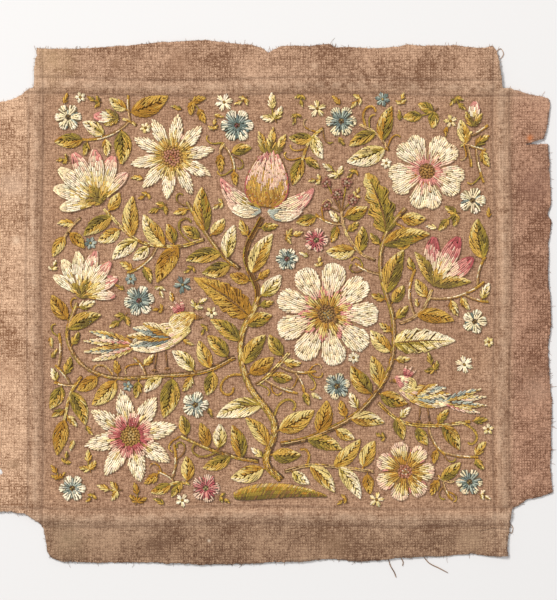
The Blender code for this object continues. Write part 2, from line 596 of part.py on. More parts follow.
def ground_cloth(collection, helpers, material):
    """The linen: a creased sheet, thickened upwards, then cut to its outline."""
    x, y = np.meshgrid(sheet_lines("x"), sheet_lines("y"))
    bm = grid_bmesh(np.stack([x, y, fold_height(x, y)], axis=2))
    cloth = mesh_object("ground_cloth", bm, collection, closed=False)
    cloth.data.materials.append(material)
    thick = cloth.modifiers.new("thickness", "SOLIDIFY")
    thick.thickness = CLOTH_THICKNESS * MM
    thick.offset = 1
    cut = cloth.modifiers.new("cut_edge", "BOOLEAN")
    cut.operation = "INTERSECT"
    cut.solver = "EXACT"
    cut.object = outline_cutter(helpers)
    return cloth


def thread_object(thread, collection, material):
    rings = tube_points(thread)
    bm = bmesh.new()
    verts = [[bm.verts.new(point) for point in ring] for ring in rings]
    for first, second in zip(verts[:-1], verts[1:]):
        for i in range(6):
            j = (i + 1) % 6
            bm.faces.new([first[i], first[j], second[j], second[i]])
    bm.faces.new(verts[0])
    bm.faces.new(verts[-1])
    made = mesh_object(thread.name, bm, collection)
    made.data.materials.append(material)
    return made


def build():
    clear_scene()
    scene = bpy.context.scene.collection
    panel = new_collection(OBJECT_NAME, scene)
    helpers = new_collection("helpers", scene, helper=True)
    linen = new_material("linen", (0.42, 0.30, 0.20), 0.9)
    cream = new_material("cream_wool", (0.75, 0.66, 0.48), 0.85)
    pink = new_material("pink_wool", (0.66, 0.45, 0.38), 0.85)
    blue = new_material("blue_wool", (0.22, 0.28, 0.30), 0.85)
    leaf = new_material("leaf_wool", (0.40, 0.25, 0.06), 0.85)
    ground_cloth(panel, helpers, linen)
    for stem in STEMS:
        united_object(stem.name, stem_pads(stem), panel, helpers, leaf)
    for rosette in ROSETTES:
        wool = cream if rosette.radius > 20 else blue
        united_object(rosette.name, [rosette_rings(rosette)], panel, helpers, wool)
    for group in GROUPS:
        wool = leaf if group.name == "mound" else cream if group.name.startswith("fan") else pink
        united_object(group.name, group_pads(group), panel, helpers, wool)
    for thread in THREADS:
        thread_object(thread, panel, linen)


build()
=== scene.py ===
"""Looks of the crewel embroidery panel: every wool stitch, the worn linen, its raw edge, light and camera."""

# %% [markdown]
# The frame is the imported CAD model. Everything below is dressed on to it, in the same place and size.
# The tables hold millimetres, because a maker would measure the panel so, and one function turns them
# into metres when a mesh is made.

from collections import namedtuple
from math import cos, pi, radians, sin

import bmesh
import bpy
import numpy as np
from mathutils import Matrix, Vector


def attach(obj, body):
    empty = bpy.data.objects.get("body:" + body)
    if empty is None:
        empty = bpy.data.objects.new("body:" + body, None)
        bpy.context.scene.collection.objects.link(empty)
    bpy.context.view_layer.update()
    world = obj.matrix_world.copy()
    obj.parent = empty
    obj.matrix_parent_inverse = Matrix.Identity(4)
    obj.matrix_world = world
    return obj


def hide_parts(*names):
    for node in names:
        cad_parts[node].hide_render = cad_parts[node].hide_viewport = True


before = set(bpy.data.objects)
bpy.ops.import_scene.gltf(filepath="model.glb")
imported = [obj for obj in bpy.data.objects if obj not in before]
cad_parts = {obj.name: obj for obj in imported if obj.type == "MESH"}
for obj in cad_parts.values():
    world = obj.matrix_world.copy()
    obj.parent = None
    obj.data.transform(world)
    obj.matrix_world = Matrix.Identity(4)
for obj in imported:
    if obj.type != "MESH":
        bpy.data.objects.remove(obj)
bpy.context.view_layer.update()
MM = 0.001
CLOTH_THICKNESS = 1.2

# %% [markdown]
# A crewel worker chooses a few dozen skeins before the first stitch. The skeins are named here once, as
# they look on a screen, and turned into linear light, because shaders and vertex colours work in that.
# A colour per stitch, kept on the mesh, was chosen over a texture, since each real stitch is one dyed yarn.

# %% Skeins of wool
def linear(colour):
    """Screen colour to linear light: c / 12.92 for dark values, else ((c + 0.055) / 1.055) to the power 2.4."""
    c = np.asarray(colour, float) / 255
    return np.where(c <= 0.04045, c / 12.92, ((c + 0.055) / 1.055) ** 2.4)


SKEINS = {
    "ivory": (253, 238, 206), "cream": (247, 226, 182), "blush": (240, 203, 174), "rose": (216, 142, 130),
    "deep_rose": (178, 80, 84), "straw": (228, 202, 128), "gold": (204, 162, 70), "mustard": (175, 125, 34),
    "olive": (162, 136, 46), "moss": (122, 102, 36), "blue": (172, 178, 162), "slate": (112, 126, 118),
    "tan": (204, 166, 112), "brown": (142, 102, 52), "bark": (98, 68, 36),
}
WOOL = {name: linear(colour) for name, colour in SKEINS.items()}
print(len(WOOL), "skeins")

# %% [markdown]
# The stems, leaves, flowers and birds stand where the CAD has their solids, so the same short tables are
# repeated here: this script can't read the other one. A leaf is a lance and a blossom is round unless its row
# says something else, and lobes that mirror each other are made in pairs.

# %% Tables: stems, leaves and tendrils
Stem = namedtuple("Stem", "name root_width tip_width points")
STEMS = [
    Stem("stem_trunk", 7.5, 4.5,
         [(9, -164), (-6, -146), (2, -110), (-24, -70), (-30, -28), (-14, 12), (-26, 52), (-10, 88)]),
    Stem("stem_right", 5.5, 3.5,
         [(7.5, -130), (40, -122), (84, -98), (112, -58), (116, -12), (104, 34), (108, 70), (127.5, 97)]),
    Stem("stem_middle", 4.0, 3.5, [(-16, -73), (-4, -64), (16, -42)]),
    Stem("stem_cup", 3.5, 3.0, [(121.5, -14), (134, -9), (146, 2), (153, 19)]),
    Stem("stem_perch", 4.0, 3.0, [(101, -90), (124, -108), (156, -112), (190, -108)]),
    Stem("stem_low_right", 4.0, 3.0, [(11.5, -156), (36, -150), (66, -152), (97, -156)]),
    Stem("stem_low_left", 4.5, 3.0, [(-13, -146), (-36, -142), (-66, -132), (-88, -122)]),
    Stem("stem_left", 5.0, 3.0,
         [(-36, -46), (-66, -60), (-108, -64), (-150, -66), (-182, -54), (-197, -26), (-187.5, 6)]),
    Stem("stem_side", 3.2, 2.4, [(-183, -64), (-194, -82), (-200, -108)]),
    Stem("stem_upper", 5.0, 3.0, [(-31, 38.5), (-48, 52), (-66, 76), (-82, 103)]),
    Stem("stem_upper_left", 3.5, 3.0, [(-65, 67), (-92, 60), (-130, 66), (-162, 96)]),
    Stem("stem_berries", 3.0, 2.2, [(99, 46.5), (84, 54), (70, 74), (66, 94)]),
    Stem("stem_corner", 3.2, 2.6, [(180, 156), (188, 163), (191, 171)]),
    Stem("stem_top", 3.0, 2.4, [(112, 152), (100, 168), (83, 177)]),
    Stem("stem_bud", 3.0, 2.4, [(-130, 176), (-138, 181), (-144, 182)]),
    Stem("stem_spray", 2.8, 2.2, [(158, -160), (165, -165), (174, -166)]),
    Stem("stem_sprig_top", 2.8, 2.2, [(49, 174), (36, 162), (28, 142)]),
    Stem("stem_sprig_high", 2.8, 2.2, [(-46.5, 160), (-50, 153), (-50, 147)]),
    Stem("stem_sprig_low", 2.8, 2.2, [(-79, -168), (-90, -166), (-99, -169)]),
    Stem("stem_sprig_edge", 2.8, 2.2, [(-184, 88), (-193, 79), (-200, 68)]),
]

Leaf = namedtuple("Leaf", "stem share side length width spread bend kind", defaults=["lance"])
LEAF_ROWS = {
    "trunk": [(0.14, 1, 34, 14, 60, 30), (0.30, 1, 44, 18, 66, 30), (0.46, -1, 34, 15, 45, -20),
              (0.60, -1, 25, 13, 50, -20), (0.54, 1, 34, 14, 56, 25), (0.63, 1, 64, 28, 84, 20, "toothed"),
              (0.79, -1, 42, 17, 52, -20)],
    "right": [(0.09, -1, 34, 14, 34, -25), (0.13, 1, 32, 16, 52, 25), (0.245, -1, 32, 14, 42, -25),
              (0.385, 1, 30, 13, 50, 25), (0.535, -1, 58, 26, 84, -10, "toothed"), (0.70, -1, 44, 18, 40, -25),
              (0.86, -1, 46, 17, 62, -25), (0.90, 1, 60, 28, 48, 25, "lobed")],
    "low_right": [(0.30, -1, 34, 14, 48, -25), (0.56, 1, 36, 14, 52, 25), (0.62, -1, 36, 14, 50, -25)],
    "low_left": [(0.22, -1, 32, 14, 62, 25), (0.36, 1, 28, 13, 40, -25), (0.66, -1, 24, 11, 55, 25)],
    "left": [(0.12, -1, 28, 13, 88, -15), (0.34, 1, 22, 11, 40, 25), (0.88, -1, 34, 14, 60, -30)],
    "side": [(0.40, 1, 34, 14, 50, -25), (1.0, 0, 34, 14, 0, 10)],
    "upper": [(0.20, -1, 32, 13, 60, -25), (0.28, 1, 34, 14, 60, 25), (0.60, -1, 42, 17, 30, -20)],
    "upper_left": [(0.24, 1, 40, 17, 52, 25), (0.36, -1, 36, 16, 56, -25), (0.66, -1, 38, 15, 55, -25),
                   (0.60, 1, 30, 14, 56, 25), (0.90, 1, 32, 14, 80, 25)],
    "perch": [(0.24, -1, 21, 11, 40, -15), (0.72, -1, 28, 13, 60, -25)],
    "cup": [(0.40, -1, 36, 14, 50, -25)],
    "top": [(0.30, -1, 34, 14, 50, -25), (0.55, 1, 28, 12, 60, 25)],
    "corner": [(0.30, 1, 22, 11, 62, 15)],
    "spray": [(0.30, 1, 24, 11, 80, 15)],
    "berries": [(0.30, -1, 24, 12, 50, 20)],
    "sprig_top": [(0.30, 1, 24, 11, 60, 25), (0.38, -1, 22, 11, 50, -20), (1.0, 0, 26, 12, 0, 15)],
    "sprig_high": [(1.0, 0, 17, 9, 0, 15)],
    "sprig_low": [(0.40, 1, 17, 9, 60, 15), (1.0, 0, 20, 10, 0, -15)],
    "sprig_edge": [(0.35, -1, 16, 8, 50, 15), (1.0, 0, 22, 10, 0, 15)],
}
LEAVES = [Leaf(f"stem_{stem}", *row) for stem, rows in LEAF_ROWS.items() for row in rows]

Tendril = namedtuple("Tendril", "stem share side spread length first_turn last_turn")
TENDRILS = [
    Tendril("stem_trunk", 0.24, -1, 40, 40, -1, -14),
    Tendril("stem_trunk", 0.42, 1, 60, 50, 2, 13),
    Tendril("stem_right", 0.94, -1, 70, 46, -1.5, -12),
    Tendril("stem_left", 0.55, -1, 50, 30, 1, 14),
    Tendril("stem_upper_left", 0.12, -1, 50, 40, -1, -14),
    Tendril("stem_low_right", 0.26, 1, 60, 22, 1, 17),
    Tendril("stem_perch", 0.92, -1, 30, 34, -1, -14),
    Tendril("stem_low_left", 0.52, 1, 50, 40, -1, -15),
    Tendril("stem_top", 0.80, -1, 40, 34, -1, -16),
]
ROOT_DEPTH = 1.2
print(len(STEMS), "stems,", len(LEAVES), "leaves,", len(TENDRILS), "tendrils")

# %% Tables: berries, flowers and groups of lobes
Berry = namedtuple("Berry", "x y radius")
BERRIES = [
    Berry(62, 110, 6.0),
    Berry(77, 105, 5.5),
    Berry(52, 99, 5.0),
    Berry(71, 121, 5.5),
    Berry(52, 121, 5.0),
]

Rosette = namedtuple("Rosette", "name x y radius petals turn form notch", defaults=[0, "round", 0.5])
ROSETTES = [
    Rosette("flower_wheel", -96, 146, 42, 10, 10, "point", 0.45),
    Rosette("flower_round", 52, -5, 50, 9, 0, "round", 0.52),
    Rosette("flower_five", 148, 132, 38, 5, -20, "heart", 0.45),
    Rosette("flower_star", -136, -122, 46, 8, 12, "point", 0.42),
    Rosette("flower_seven", 127, -156, 29, 7),
    Rosette("blossom_top_right", 66, 180, 15, 6),
    Rosette("blossom_right", 194, -12, 12, 5),
    Rosette("blossom_left", -128, 8, 15, 6, 10),
    Rosette("blossom_foot", -64, -172, 14, 5),
    Rosette("blossom_low_left", -192, -172, 13, 6),
    Rosette("blossom_middle", 62, -74, 13, 6, 15),
    Rosette("blossom_high_right", 192, 104, 13, 5),
    Rosette("blossom_top", -34, 176, 16, 6),
    Rosette("blossom_inner", 42, 66, 12, 5),
    Rosette("blossom_near_star", -74, -92, 13, 5),
    Rosette("blossom_low_right", 189, -166, 13, 6),
    Rosette("blossom_top_left", -196, 184, 13, 6),
    Rosette("blossom_small", 14, 48, 11, 6),
]

Lobe = namedtuple("Lobe", "x y angle length width bend kind", defaults=["lance"])


def pair(x, y, angle, length, width, bend, kind="lance"):
    """Two lobes that mirror each other in the line along the motif."""
    return [Lobe(x, side * y, side * angle, length, width, side * bend, kind) for side in (-1, 1)]


FAN_FLOWER = [
    *pair(2.7, 7.5, 70, 32, 13, 30, "petal"), *pair(5.8, 5.6, 44, 40, 16, 15, "petal"),
    *pair(7.4, 3.0, 22, 45, 16, 5, "petal"), Lobe(8, 0, 0, 48, 16, 0, "petal"),
    Lobe(0, 0, 0, 22, 13, 0, "broad"), *pair(0, 0, 64, 18, 7, 60),
]
CUP_FLOWER = [
    *pair(5.4, 2.6, 26, 42, 16, -25, "petal"), Lobe(4, 0, 0, 50, 18, 0, "petal"),
    *pair(1.7, 2.5, 56, 34, 11, 30), Lobe(0, 0, 0, 14, 10, 0, "broad"),
]
FRUIT = [
    Lobe(4, 0, 0, 60, 42, 0, "broad"), *pair(2, -3, -58, 52, 18, 60), *pair(2, -3, -84, 36, 13, 70),
    *pair(56, 5, 22, 22, 9, 10), Lobe(56, 0, 0, 26, 9, 0),
]
BIRD = [
    Lobe(-20, -4, 160, 42, 8, 8),
    Lobe(-20, -5, 171, 46, 8, 4),
    Lobe(-20, -6, 182, 46, 8, -6),
    Lobe(-20, -7, 193, 40, 7, -12),
    Lobe(-24, -6, 14, 58, 25, 6, "body"),
    Lobe(14, 8, 28, 26, 19, 0, "broad"),
    Lobe(33, 17, -8, 11, 5, 0),
    Lobe(12, 1, 150, 26, 9, 20),
    Lobe(12, 0, 162, 34, 9, 16),
    Lobe(12, -1, 173, 38, 9, 12),
    Lobe(11, -3, 184, 36, 8, 8),
    Lobe(26, 22, 96, 12, 4, 30),
    Lobe(24, 21, 116, 13, 4, 34),
    Lobe(22, 20, 134, 12, 4, 34),
    Lobe(0, -12, -100, 16, 2.2, 0, "leg"),
    Lobe(8, -11, -88, 16, 2.2, 0, "leg"),
]
BUD = [Lobe(2, 0, 0, 22, 12, 0, "petal"), *pair(0, 0, 30, 15, 7, -20)]
MOUND = [Lobe(0, 0, 0, 92, 15, -28, "broad")]

Group = namedtuple("Group", "name lobes x y heading scale mirror")
GROUPS = [
    Group("mound", MOUND, -38, -180, 0, 1.0, 1),
    Group("fan_flower_upper", FAN_FLOWER, -165, 101, 118, 1.0, 1),
    Group("fan_flower_left", FAN_FLOWER, -184, 11, 72, 0.85, 1),
    Group("cup_flower", CUP_FLOWER, 154, 22, 62, 1.0, 1),
    Group("fruit", FRUIT, -8, 93, 84, 1.0, 1),
    Group("bird_left", BIRD, -112, -28, 4, 1.06, 1),
    Group("bird_right", BIRD, 149, -84, 178, 0.86, -1),
    Group("bud_corner", BUD, 192, 175.5, 84, 1.0, 1),
    Group("bud_top", BUD, -148, 183, 176, 1.0, 1),
]
print(len(ROSETTES), "flowers,", len(GROUPS), "groups")

# %% [markdown]
# Every worked shape is a function of two numbers: how far along it (u) and how far across it. The needle
# then only asks where a stitch goes down and comes up. The formulas are the same as in the CAD, so the
# stitches cover exactly the ground of the solid pads.

# %% Outlines of leaves and petals
def leaf_half_width(kind, u):
    """Half width as a share of its greatest, for u from 0 at the base to 1 at the tip: a sine hump whose
    peak is moved by a power of u, with ripples for a lobed leaf and saw teeth for a toothed one."""
    u = np.clip(u, 0, 1)
    if kind == "lance":
        return np.sin(pi * u**0.8) ** 0.85
    if kind == "broad":
        return np.sin(pi * u**0.62) ** 0.7
    if kind == "petal":
        return np.sin(pi * u**1.35 * 0.97 + 0.05) ** 0.75
    if kind == "body":
        return np.sin(pi * u**0.9 * 0.94 + 0.06) ** 0.8
    if kind == "lobed":
        return np.sin(pi * u**0.7) ** 0.55 * (0.80 - 0.20 * np.cos(8 * pi * u))
    if kind == "toothed":
        return np.sin(pi * u**0.6) ** 0.8 * (1 - 0.26 * ((u * 6) % 1))
    return 0.8 + 0 * u


def petal_edge(form, across):
    """Reach of a petal from 0 between petals to 1 at its middle, for across from -1 to 1: a rounded, a
    pointed or a heart-shaped falling-off towards both sides."""
    if form == "round":
        return (1 - np.abs(across) ** 2.6) ** 0.5
    if form == "point":
        return (1 - np.abs(across)) ** 0.75
    if form == "heart":
        return (1 - np.abs(across) ** 3) ** 0.5 * (1 - 0.16 * np.exp(-((across / 0.22) ** 2)))
    return 1 + 0 * across


def toward(turn):
    """The unit vector, or a row of them, in the direction of a heading."""
    return np.stack([np.cos(turn), np.sin(turn)], axis=-1)


def arc_point(start, heading, length, bend, u):
    """Point and heading at u on an arc of the given length whose heading turns evenly by bend, with the
    stated heading at its middle: the integral of (cos, sin) of a heading that is linear in u."""
    first = heading - bend / 2
    turn = first + bend * u
    if abs(bend) < 1e-6:
        x, y = length * u * cos(heading), length * u * sin(heading)
    else:
        x = length / bend * (np.sin(turn) - sin(first))
        y = -length / bend * (np.cos(turn) - cos(first))
    return np.stack([start[0] + x, start[1] + y], axis=-1), turn


Blade = namedtuple("Blade", "start heading length width bend kind")


def on_blade(blade, u, across):
    """Point at u along a leaf or petal, and across half widths to its left."""
    point, turn = arc_point(blade.start, blade.heading, blade.length, blade.bend, u)
    half = np.maximum(leaf_half_width(blade.kind, u) * blade.width / 2, 0.35)
    left = np.stack([-np.sin(turn), np.cos(turn)], axis=-1)
    return point + left * (np.asarray(across) * half)[..., None]


print("a lance leaf is widest at u =", np.linspace(0, 1, 101)[np.argmax(
    leaf_half_width("lance", np.linspace(0, 1, 101)))])

# %% Paths of stems and tendrils
def smooth_path(points, steps):
    """A curve through the points (Catmull-Rom): between two points, a cubic whose slope at each is half
    the difference of that point's neighbours."""
    given = np.array(points, float)
    ends = np.vstack([2 * given[0] - given[1], given, 2 * given[-1] - given[-2]])
    t = np.linspace(0, 1, steps, endpoint=False)[None, :, None]
    a, b, c, d = (ends[i:len(ends) - 3 + i, None] for i in range(4))
    made = b + 0.5 * ((c - a) * t + (2 * a - 5 * b + 4 * c - d) * t**2 + (3 * b - a - 3 * c + d) * t**3)
    return np.vstack([made.reshape(-1, 2), given[-1:]])


def run_of(path):
    """Length run so far at each point of a path."""
    steps = np.diff(path, axis=0)
    return np.concatenate([[0], np.cumsum(np.hypot(steps[:, 0], steps[:, 1]))])


def on_path(path, run, offset):
    """Point at a run along a path in millimetres, moved offset millimetres to the left, and its heading."""
    at = run_of(path)
    slope = np.gradient(path, axis=0)
    x, y = np.interp(run, at, path[:, 0]), np.interp(run, at, path[:, 1])
    sx, sy = np.interp(run, at, slope[:, 0]), np.interp(run, at, slope[:, 1])
    size = np.hypot(sx, sy)
    return np.stack([x - sy / size * offset, y + sx / size * offset], axis=-1), np.arctan2(sy, sx)


def place_on_path(points, share):
    """The point at a share of a stem's length, and its heading, on the same coarse curve as the CAD."""
    path = smooth_path(points, 3)
    steps = np.diff(path, axis=0)
    run = run_of(path)
    place = share * run[-1]
    i = min(int(np.searchsorted(run, place, side="right")) - 1, len(steps) - 1)
    return path[i] + steps[i] * (place - run[i]) / (run[i + 1] - run[i]), np.arctan2(*steps[i, ::-1])


def curl_path(start, heading, length, first_turn, last_turn):
    """A tendril: its turn per millimetre grows from first to last with the power 1.6 of the way along."""
    s = np.linspace(0, 1, 40)
    rate = first_turn + (last_turn - first_turn) * s**1.6
    step = length / (len(s) - 1)
    turn = heading + np.radians(np.concatenate([[0], np.cumsum((rate[1:] + rate[:-1]) / 2) * step]))
    ahead = toward(turn)
    return start + np.vstack([[0, 0], np.cumsum((ahead[1:] + ahead[:-1]) / 2, axis=0) * step])


print("trunk runs", round(float(run_of(smooth_path(STEMS[0].points, 12))[-1])), "mm")

# %% Where a shoot leaves its stem
def shoot_root(stem, shoot):
    """Root point and heading of a leaf or tendril: it starts a little inside the stem's edge."""
    point, heading = place_on_path(stem.points, shoot.share)
    half = np.interp(shoot.share, [0, 1], [stem.root_width, stem.tip_width]) / 2
    out = heading + shoot.side * pi / 2
    start = point + toward(out) * abs(shoot.side) * (half - ROOT_DEPTH)
    if not shoot.side:
        start = point - toward(heading) * ROOT_DEPTH
    return start, heading + shoot.side * radians(shoot.spread)


def group_blades(group):
    """The lobes of a group as blades, turned and moved to their place on the cloth."""
    heading = radians(group.heading)
    along = toward(heading) * group.scale
    left = np.array([-sin(heading), cos(heading)]) * group.scale * group.mirror
    centre = np.array([group.x, group.y])
    return [Blade(centre + lobe.x * along + lobe.y * left, heading + radians(lobe.angle) * group.mirror,
                  lobe.length * group.scale, lobe.width * group.scale,
                  radians(lobe.bend) * group.mirror, lobe.kind) for lobe in group.lobes]


print("the left bird has", len(group_blades(GROUPS[6])), "parts")

# %% [markdown]
# The cloth was once wrapped round a pad, so it keeps four soft ridges. The stitches have to know how high
# the cloth is under them, so its height comes first, as one function of x and y.

# %% Height of the folded cloth
Crease = namedtuple("Crease", "name across at half_width height wander")
CREASES = [
    Crease("left_fold", True, -228.5, 7.0, 2.6, 1.2),
    Crease("right_fold", True, 220.5, 8.0, 2.8, 1.4),
    Crease("top_fold", False, 214.0, 7.5, 2.7, 1.6),
    Crease("bottom_fold", False, -199.0, 8.5, 3.1, 1.8),
]
FOLD_WAVE = 47.0
FLAP_LIFT = 0.4
WAVES_FROM = (236, 212)
WAVE_HEIGHT = 0.45
WAVE_FADE = 16


def fold_height(x, y):
    """Height of the underside in millimetres: a squared parabola over each fold line, which wanders by a
    sine, and slight sine waves that fade in on the flaps."""
    lift = np.zeros_like(x)
    for crease in CREASES:
        run, off = (y, x) if crease.across else (x, y)
        line = crease.at + crease.wander * np.sin(run / FOLD_WAVE + crease.at)
        share = np.clip(np.abs(off - line) / crease.half_width, 0, 1)
        swell = 0.8 + 0.2 * np.sin(run / 31 + crease.at)
        lift = np.maximum(lift, crease.height * swell * (1 - share**2) ** 2)
        outward = (off - line) * np.sign(crease.at) / crease.half_width
        lift = np.maximum(lift, FLAP_LIFT * np.clip(outward, 0, 1))
    beyond = np.maximum(np.abs(x) - WAVES_FROM[0], np.abs(y) - WAVES_FROM[1])
    wave = WAVE_HEIGHT * (1 + np.sin(x / 17 + 0.6)) * (1 + np.sin(y / 23 + 1.1))
    return lift + np.clip(beyond / WAVE_FADE, 0, 1) * wave


print("ridge height", round(float(fold_height(np.array([-228.0]), np.array([0.0]))[0]), 2), "mm")

# %% [markdown]
# A wool stitch is a short length of two-ply yarn: it comes up through the linen, lies over it in a slight
# bow, and goes down again. Thousands are needed, so each is only a tube of four rings with four corners,
# and smooth shading rounds it off. All the stitches of a piece are worked out as whole arrays.

# %% A work basket that collects stitches
RINGS = np.array([0, 0.17, 0.83, 1])
RING_SIZE = np.array([0.62, 1.0, 1.0, 0.62])
RING_DIP = np.array([1, 0, 0, 1])
YARN = 1.66
SINK = 0.5
FLATNESS = 0.9
# factor for the pads' colour: painted shade, darker than the skein, that shows in the gaps between stitches
PAD_PAINTED_SHADE = [0.72, 0.60, 0.45]
STITCH_COLUMNS, KNOT_COLUMNS = 11, 7


class Basket:
    """Stitches, knots and their colours, gathered before they become one mesh."""

    def __init__(self, name):
        self.name = name
        self.rng = np.random.default_rng(sum(ord(letter) * (i + 3) for i, letter in enumerate(name)))
        self.stitches = []
        self.knots = []
        self.pads = []

    def sew(self, start, end, lift_start, lift_end, colour, width=YARN, bow=0.25):
        """Adds stitches from start to end, both (n, 2), at lifts above the cloth, in colours (n, 3)."""
        start, end = np.reshape(start, (-1, 2)), np.reshape(end, (-1, 2))
        n = len(start)
        end = end + self.rng.normal(0, 0.18, (n, 2))
        fill = [np.broadcast_to(np.asarray(v, float).reshape(-1), n) for v in
                (lift_start, lift_end, width, bow)]
        colour = np.broadcast_to(np.reshape(colour, (-1, 3)), (n, 3))
        shade = 1 + self.rng.normal(0, 0.15, (n, 1)) + self.rng.normal(0, 0.02, (n, 3))
        self.stitches.append(np.column_stack([start, end, *fill, colour * np.clip(shade, 0.6, 1.35)]))

    def pad(self, left, right, skein, height=0.45):
        """Adds a felt-like ground under stitches, between two rails (n, 2), in the skein's colour darkened as
        painted shade for the gaps between stitches.
        """
        height = height + 0.02 * (len(self.pads) % 12)
        self.pads.append((left, right, height, WOOL[skein] * PAD_PAINTED_SHADE))

    def knot(self, centre, lift, size, colour):
        """Adds knots of the given radius at centres (n, 2)."""
        centre = np.reshape(centre, (-1, 2))
        n = len(centre)
        fill = [np.broadcast_to(np.asarray(v, float).reshape(-1), n) for v in (lift, size)]
        colour = np.broadcast_to(np.reshape(colour, (-1, 3)), (n, 3))
        shade = 1 + self.rng.normal(0, 0.09, (n, 1))
        self.knots.append(np.column_stack([centre, *fill, colour * np.clip(shade, 0.7, 1.3)]))


print("a stitch has", (len(RINGS) - 1) * 4 * 2 + 4, "triangles")

# %% From stitches to a mesh
def rings_round(middle, height, left, half, tall):
    """Four corners round each point of many tubes: to the left, above, to the right and below."""
    none = 0 * half
    side, rise = (np.stack(corners, axis=-1) for corners in ((half, none, -half, none), (none, tall, none, -tall)))
    plane = middle[..., None, :] + left[..., None, :] * side[..., None]
    return np.concatenate([plane, (height[..., None] + rise)[..., None]], axis=-1)


def stitch_tubes(rows):
    """Points of every stitch: for ring t, the middle is start + t * (end - start), raised by a parabola
    bow * 4t(1 - t) and sunk into the cloth at both ends, with four corners round it."""
    start, end = rows[:, None, 0:2], rows[:, None, 2:4]
    lift0, lift1, width, bow = (rows[:, None, i] for i in range(4, 8))
    ahead = end - start
    long = np.maximum(np.hypot(ahead[..., 0], ahead[..., 1]), 1e-6)
    left = np.stack([-ahead[..., 1], ahead[..., 0]], axis=-1) / long[..., None]
    t = RINGS[None, :]
    middle = start + t[..., None] * ahead
    ground = CLOTH_THICKNESS + fold_height(middle[..., 0], middle[..., 1])
    height = ground + lift0 + (lift1 - lift0) * t + bow * 4 * t * (1 - t) - SINK * RING_DIP
    half = width / 2 * RING_SIZE
    tall = half * FLATNESS
    return rings_round(middle, height + tall * 0.5, left, half, tall)


def tube_faces(count, rings, corners):
    """Quads round each tube and a fan-free cap at both ends, for count tubes in a row."""
    ring, corner = np.meshgrid(np.arange(rings - 1), np.arange(corners), indexing="ij")
    after = (corner + 1) % corners
    wall = np.stack([ring * corners + corner, ring * corners + after,
                     (ring + 1) * corners + after, (ring + 1) * corners + corner], axis=-1).reshape(-1, 4)
    caps = np.array([np.arange(corners)[::-1], (rings - 1) * corners + np.arange(corners)])
    one = np.vstack([wall, caps]) if corners == 4 else wall
    return (one[None] + np.arange(count)[:, None, None] * rings * corners).reshape(-1, 4)


KNOT_RINGS = np.array([[0.35, -0.25], [1.0, 0.25], [0.92, 0.72], [0.42, 1.0]])
KNOT_POINTS = len(KNOT_RINGS) * 6


def knot_points(rows):
    """Points of every knot: four rings of six corners, wide at the waist and closed in at the top."""
    turn = np.arange(6) * pi / 3
    ring = rows[:, None, 3:4] * KNOT_RINGS[None, :, 0:1] + np.zeros(6)
    x = rows[:, None, 0:1] + ring * np.cos(turn)
    y = rows[:, None, 1:2] + ring * np.sin(turn)
    ground = CLOTH_THICKNESS + fold_height(rows[:, 0], rows[:, 1])
    z = (ground + rows[:, 2])[:, None, None] + rows[:, None, 3:4] * KNOT_RINGS[None, :, 1:2] + 0 * ring
    return np.stack([x, y, z], axis=-1)


def knot_faces(count):
    """The walls of each knot's rings, and two quads over each of its two ends."""
    wall = tube_faces(1, 4, 6)
    bottom = np.array([[3, 2, 1, 0], [5, 4, 3, 0]])
    top = 18 + np.array([[0, 1, 2, 3], [0, 3, 4, 5]])
    one = np.vstack([wall, bottom, top])
    return (one[None] + np.arange(count)[:, None, None] * KNOT_POINTS).reshape(-1, 4)


def pad_slab(left, right, height):
    """Points and faces of a closed slab between two rails: the underside on the cloth, the top at height."""
    rails = np.vstack([left, right])
    ground = CLOTH_THICKNESS + fold_height(rails[:, 0], rails[:, 1])
    points = np.vstack([np.column_stack([rails, ground - 0.1]), np.column_stack([rails, ground + height])])
    n = len(left)
    i = np.arange(n - 1)
    a, b, c, d = i, i + n, i + n + 1, i + 1
    up = 2 * n
    walls = [np.column_stack([a, d, c, b]), np.column_stack([a, b, c, d]) + up,
             np.column_stack([a, a + up, d + up, d]), np.column_stack([b, c, c + up, b + up])]
    ends = np.array([[0, n, n + up, up], [n - 1, n - 1 + up, 2 * n - 1 + up, 2 * n - 1]])
    return points, np.vstack([*walls, ends])


# %% [markdown]
# One mesh holds a whole motif. Its faces all have four corners, so foreach_set can fill it at once. Two
# attributes go with it: the dyed colour, darkened on the pads as painted shade for the gaps between
# stitches, and a UV map that runs along each yarn, for the twist of its plies.

# %% Mesh of a basket
def mesh_object(name, points, faces):
    """An object at the origin from points in millimetres, (n, 3), and faces with four corners, (m, 4)."""
    mesh = bpy.data.meshes.new(name)
    mesh.vertices.add(len(points))
    mesh.vertices.foreach_set("co", (np.asarray(points) * MM).ravel())
    mesh.loops.add(faces.size)
    mesh.loops.foreach_set("vertex_index", faces.ravel().astype(np.int32))
    mesh.polygons.add(len(faces))
    mesh.polygons.foreach_set("loop_start", np.arange(0, faces.size, 4, dtype=np.int32))
    mesh.polygons.foreach_set("use_smooth", np.ones(len(faces), bool))
    mesh.update(calc_edges=True)
    mesh.validate()
    made = bpy.data.objects.new(name, mesh)
    bpy.context.scene.collection.objects.link(made)
    return made


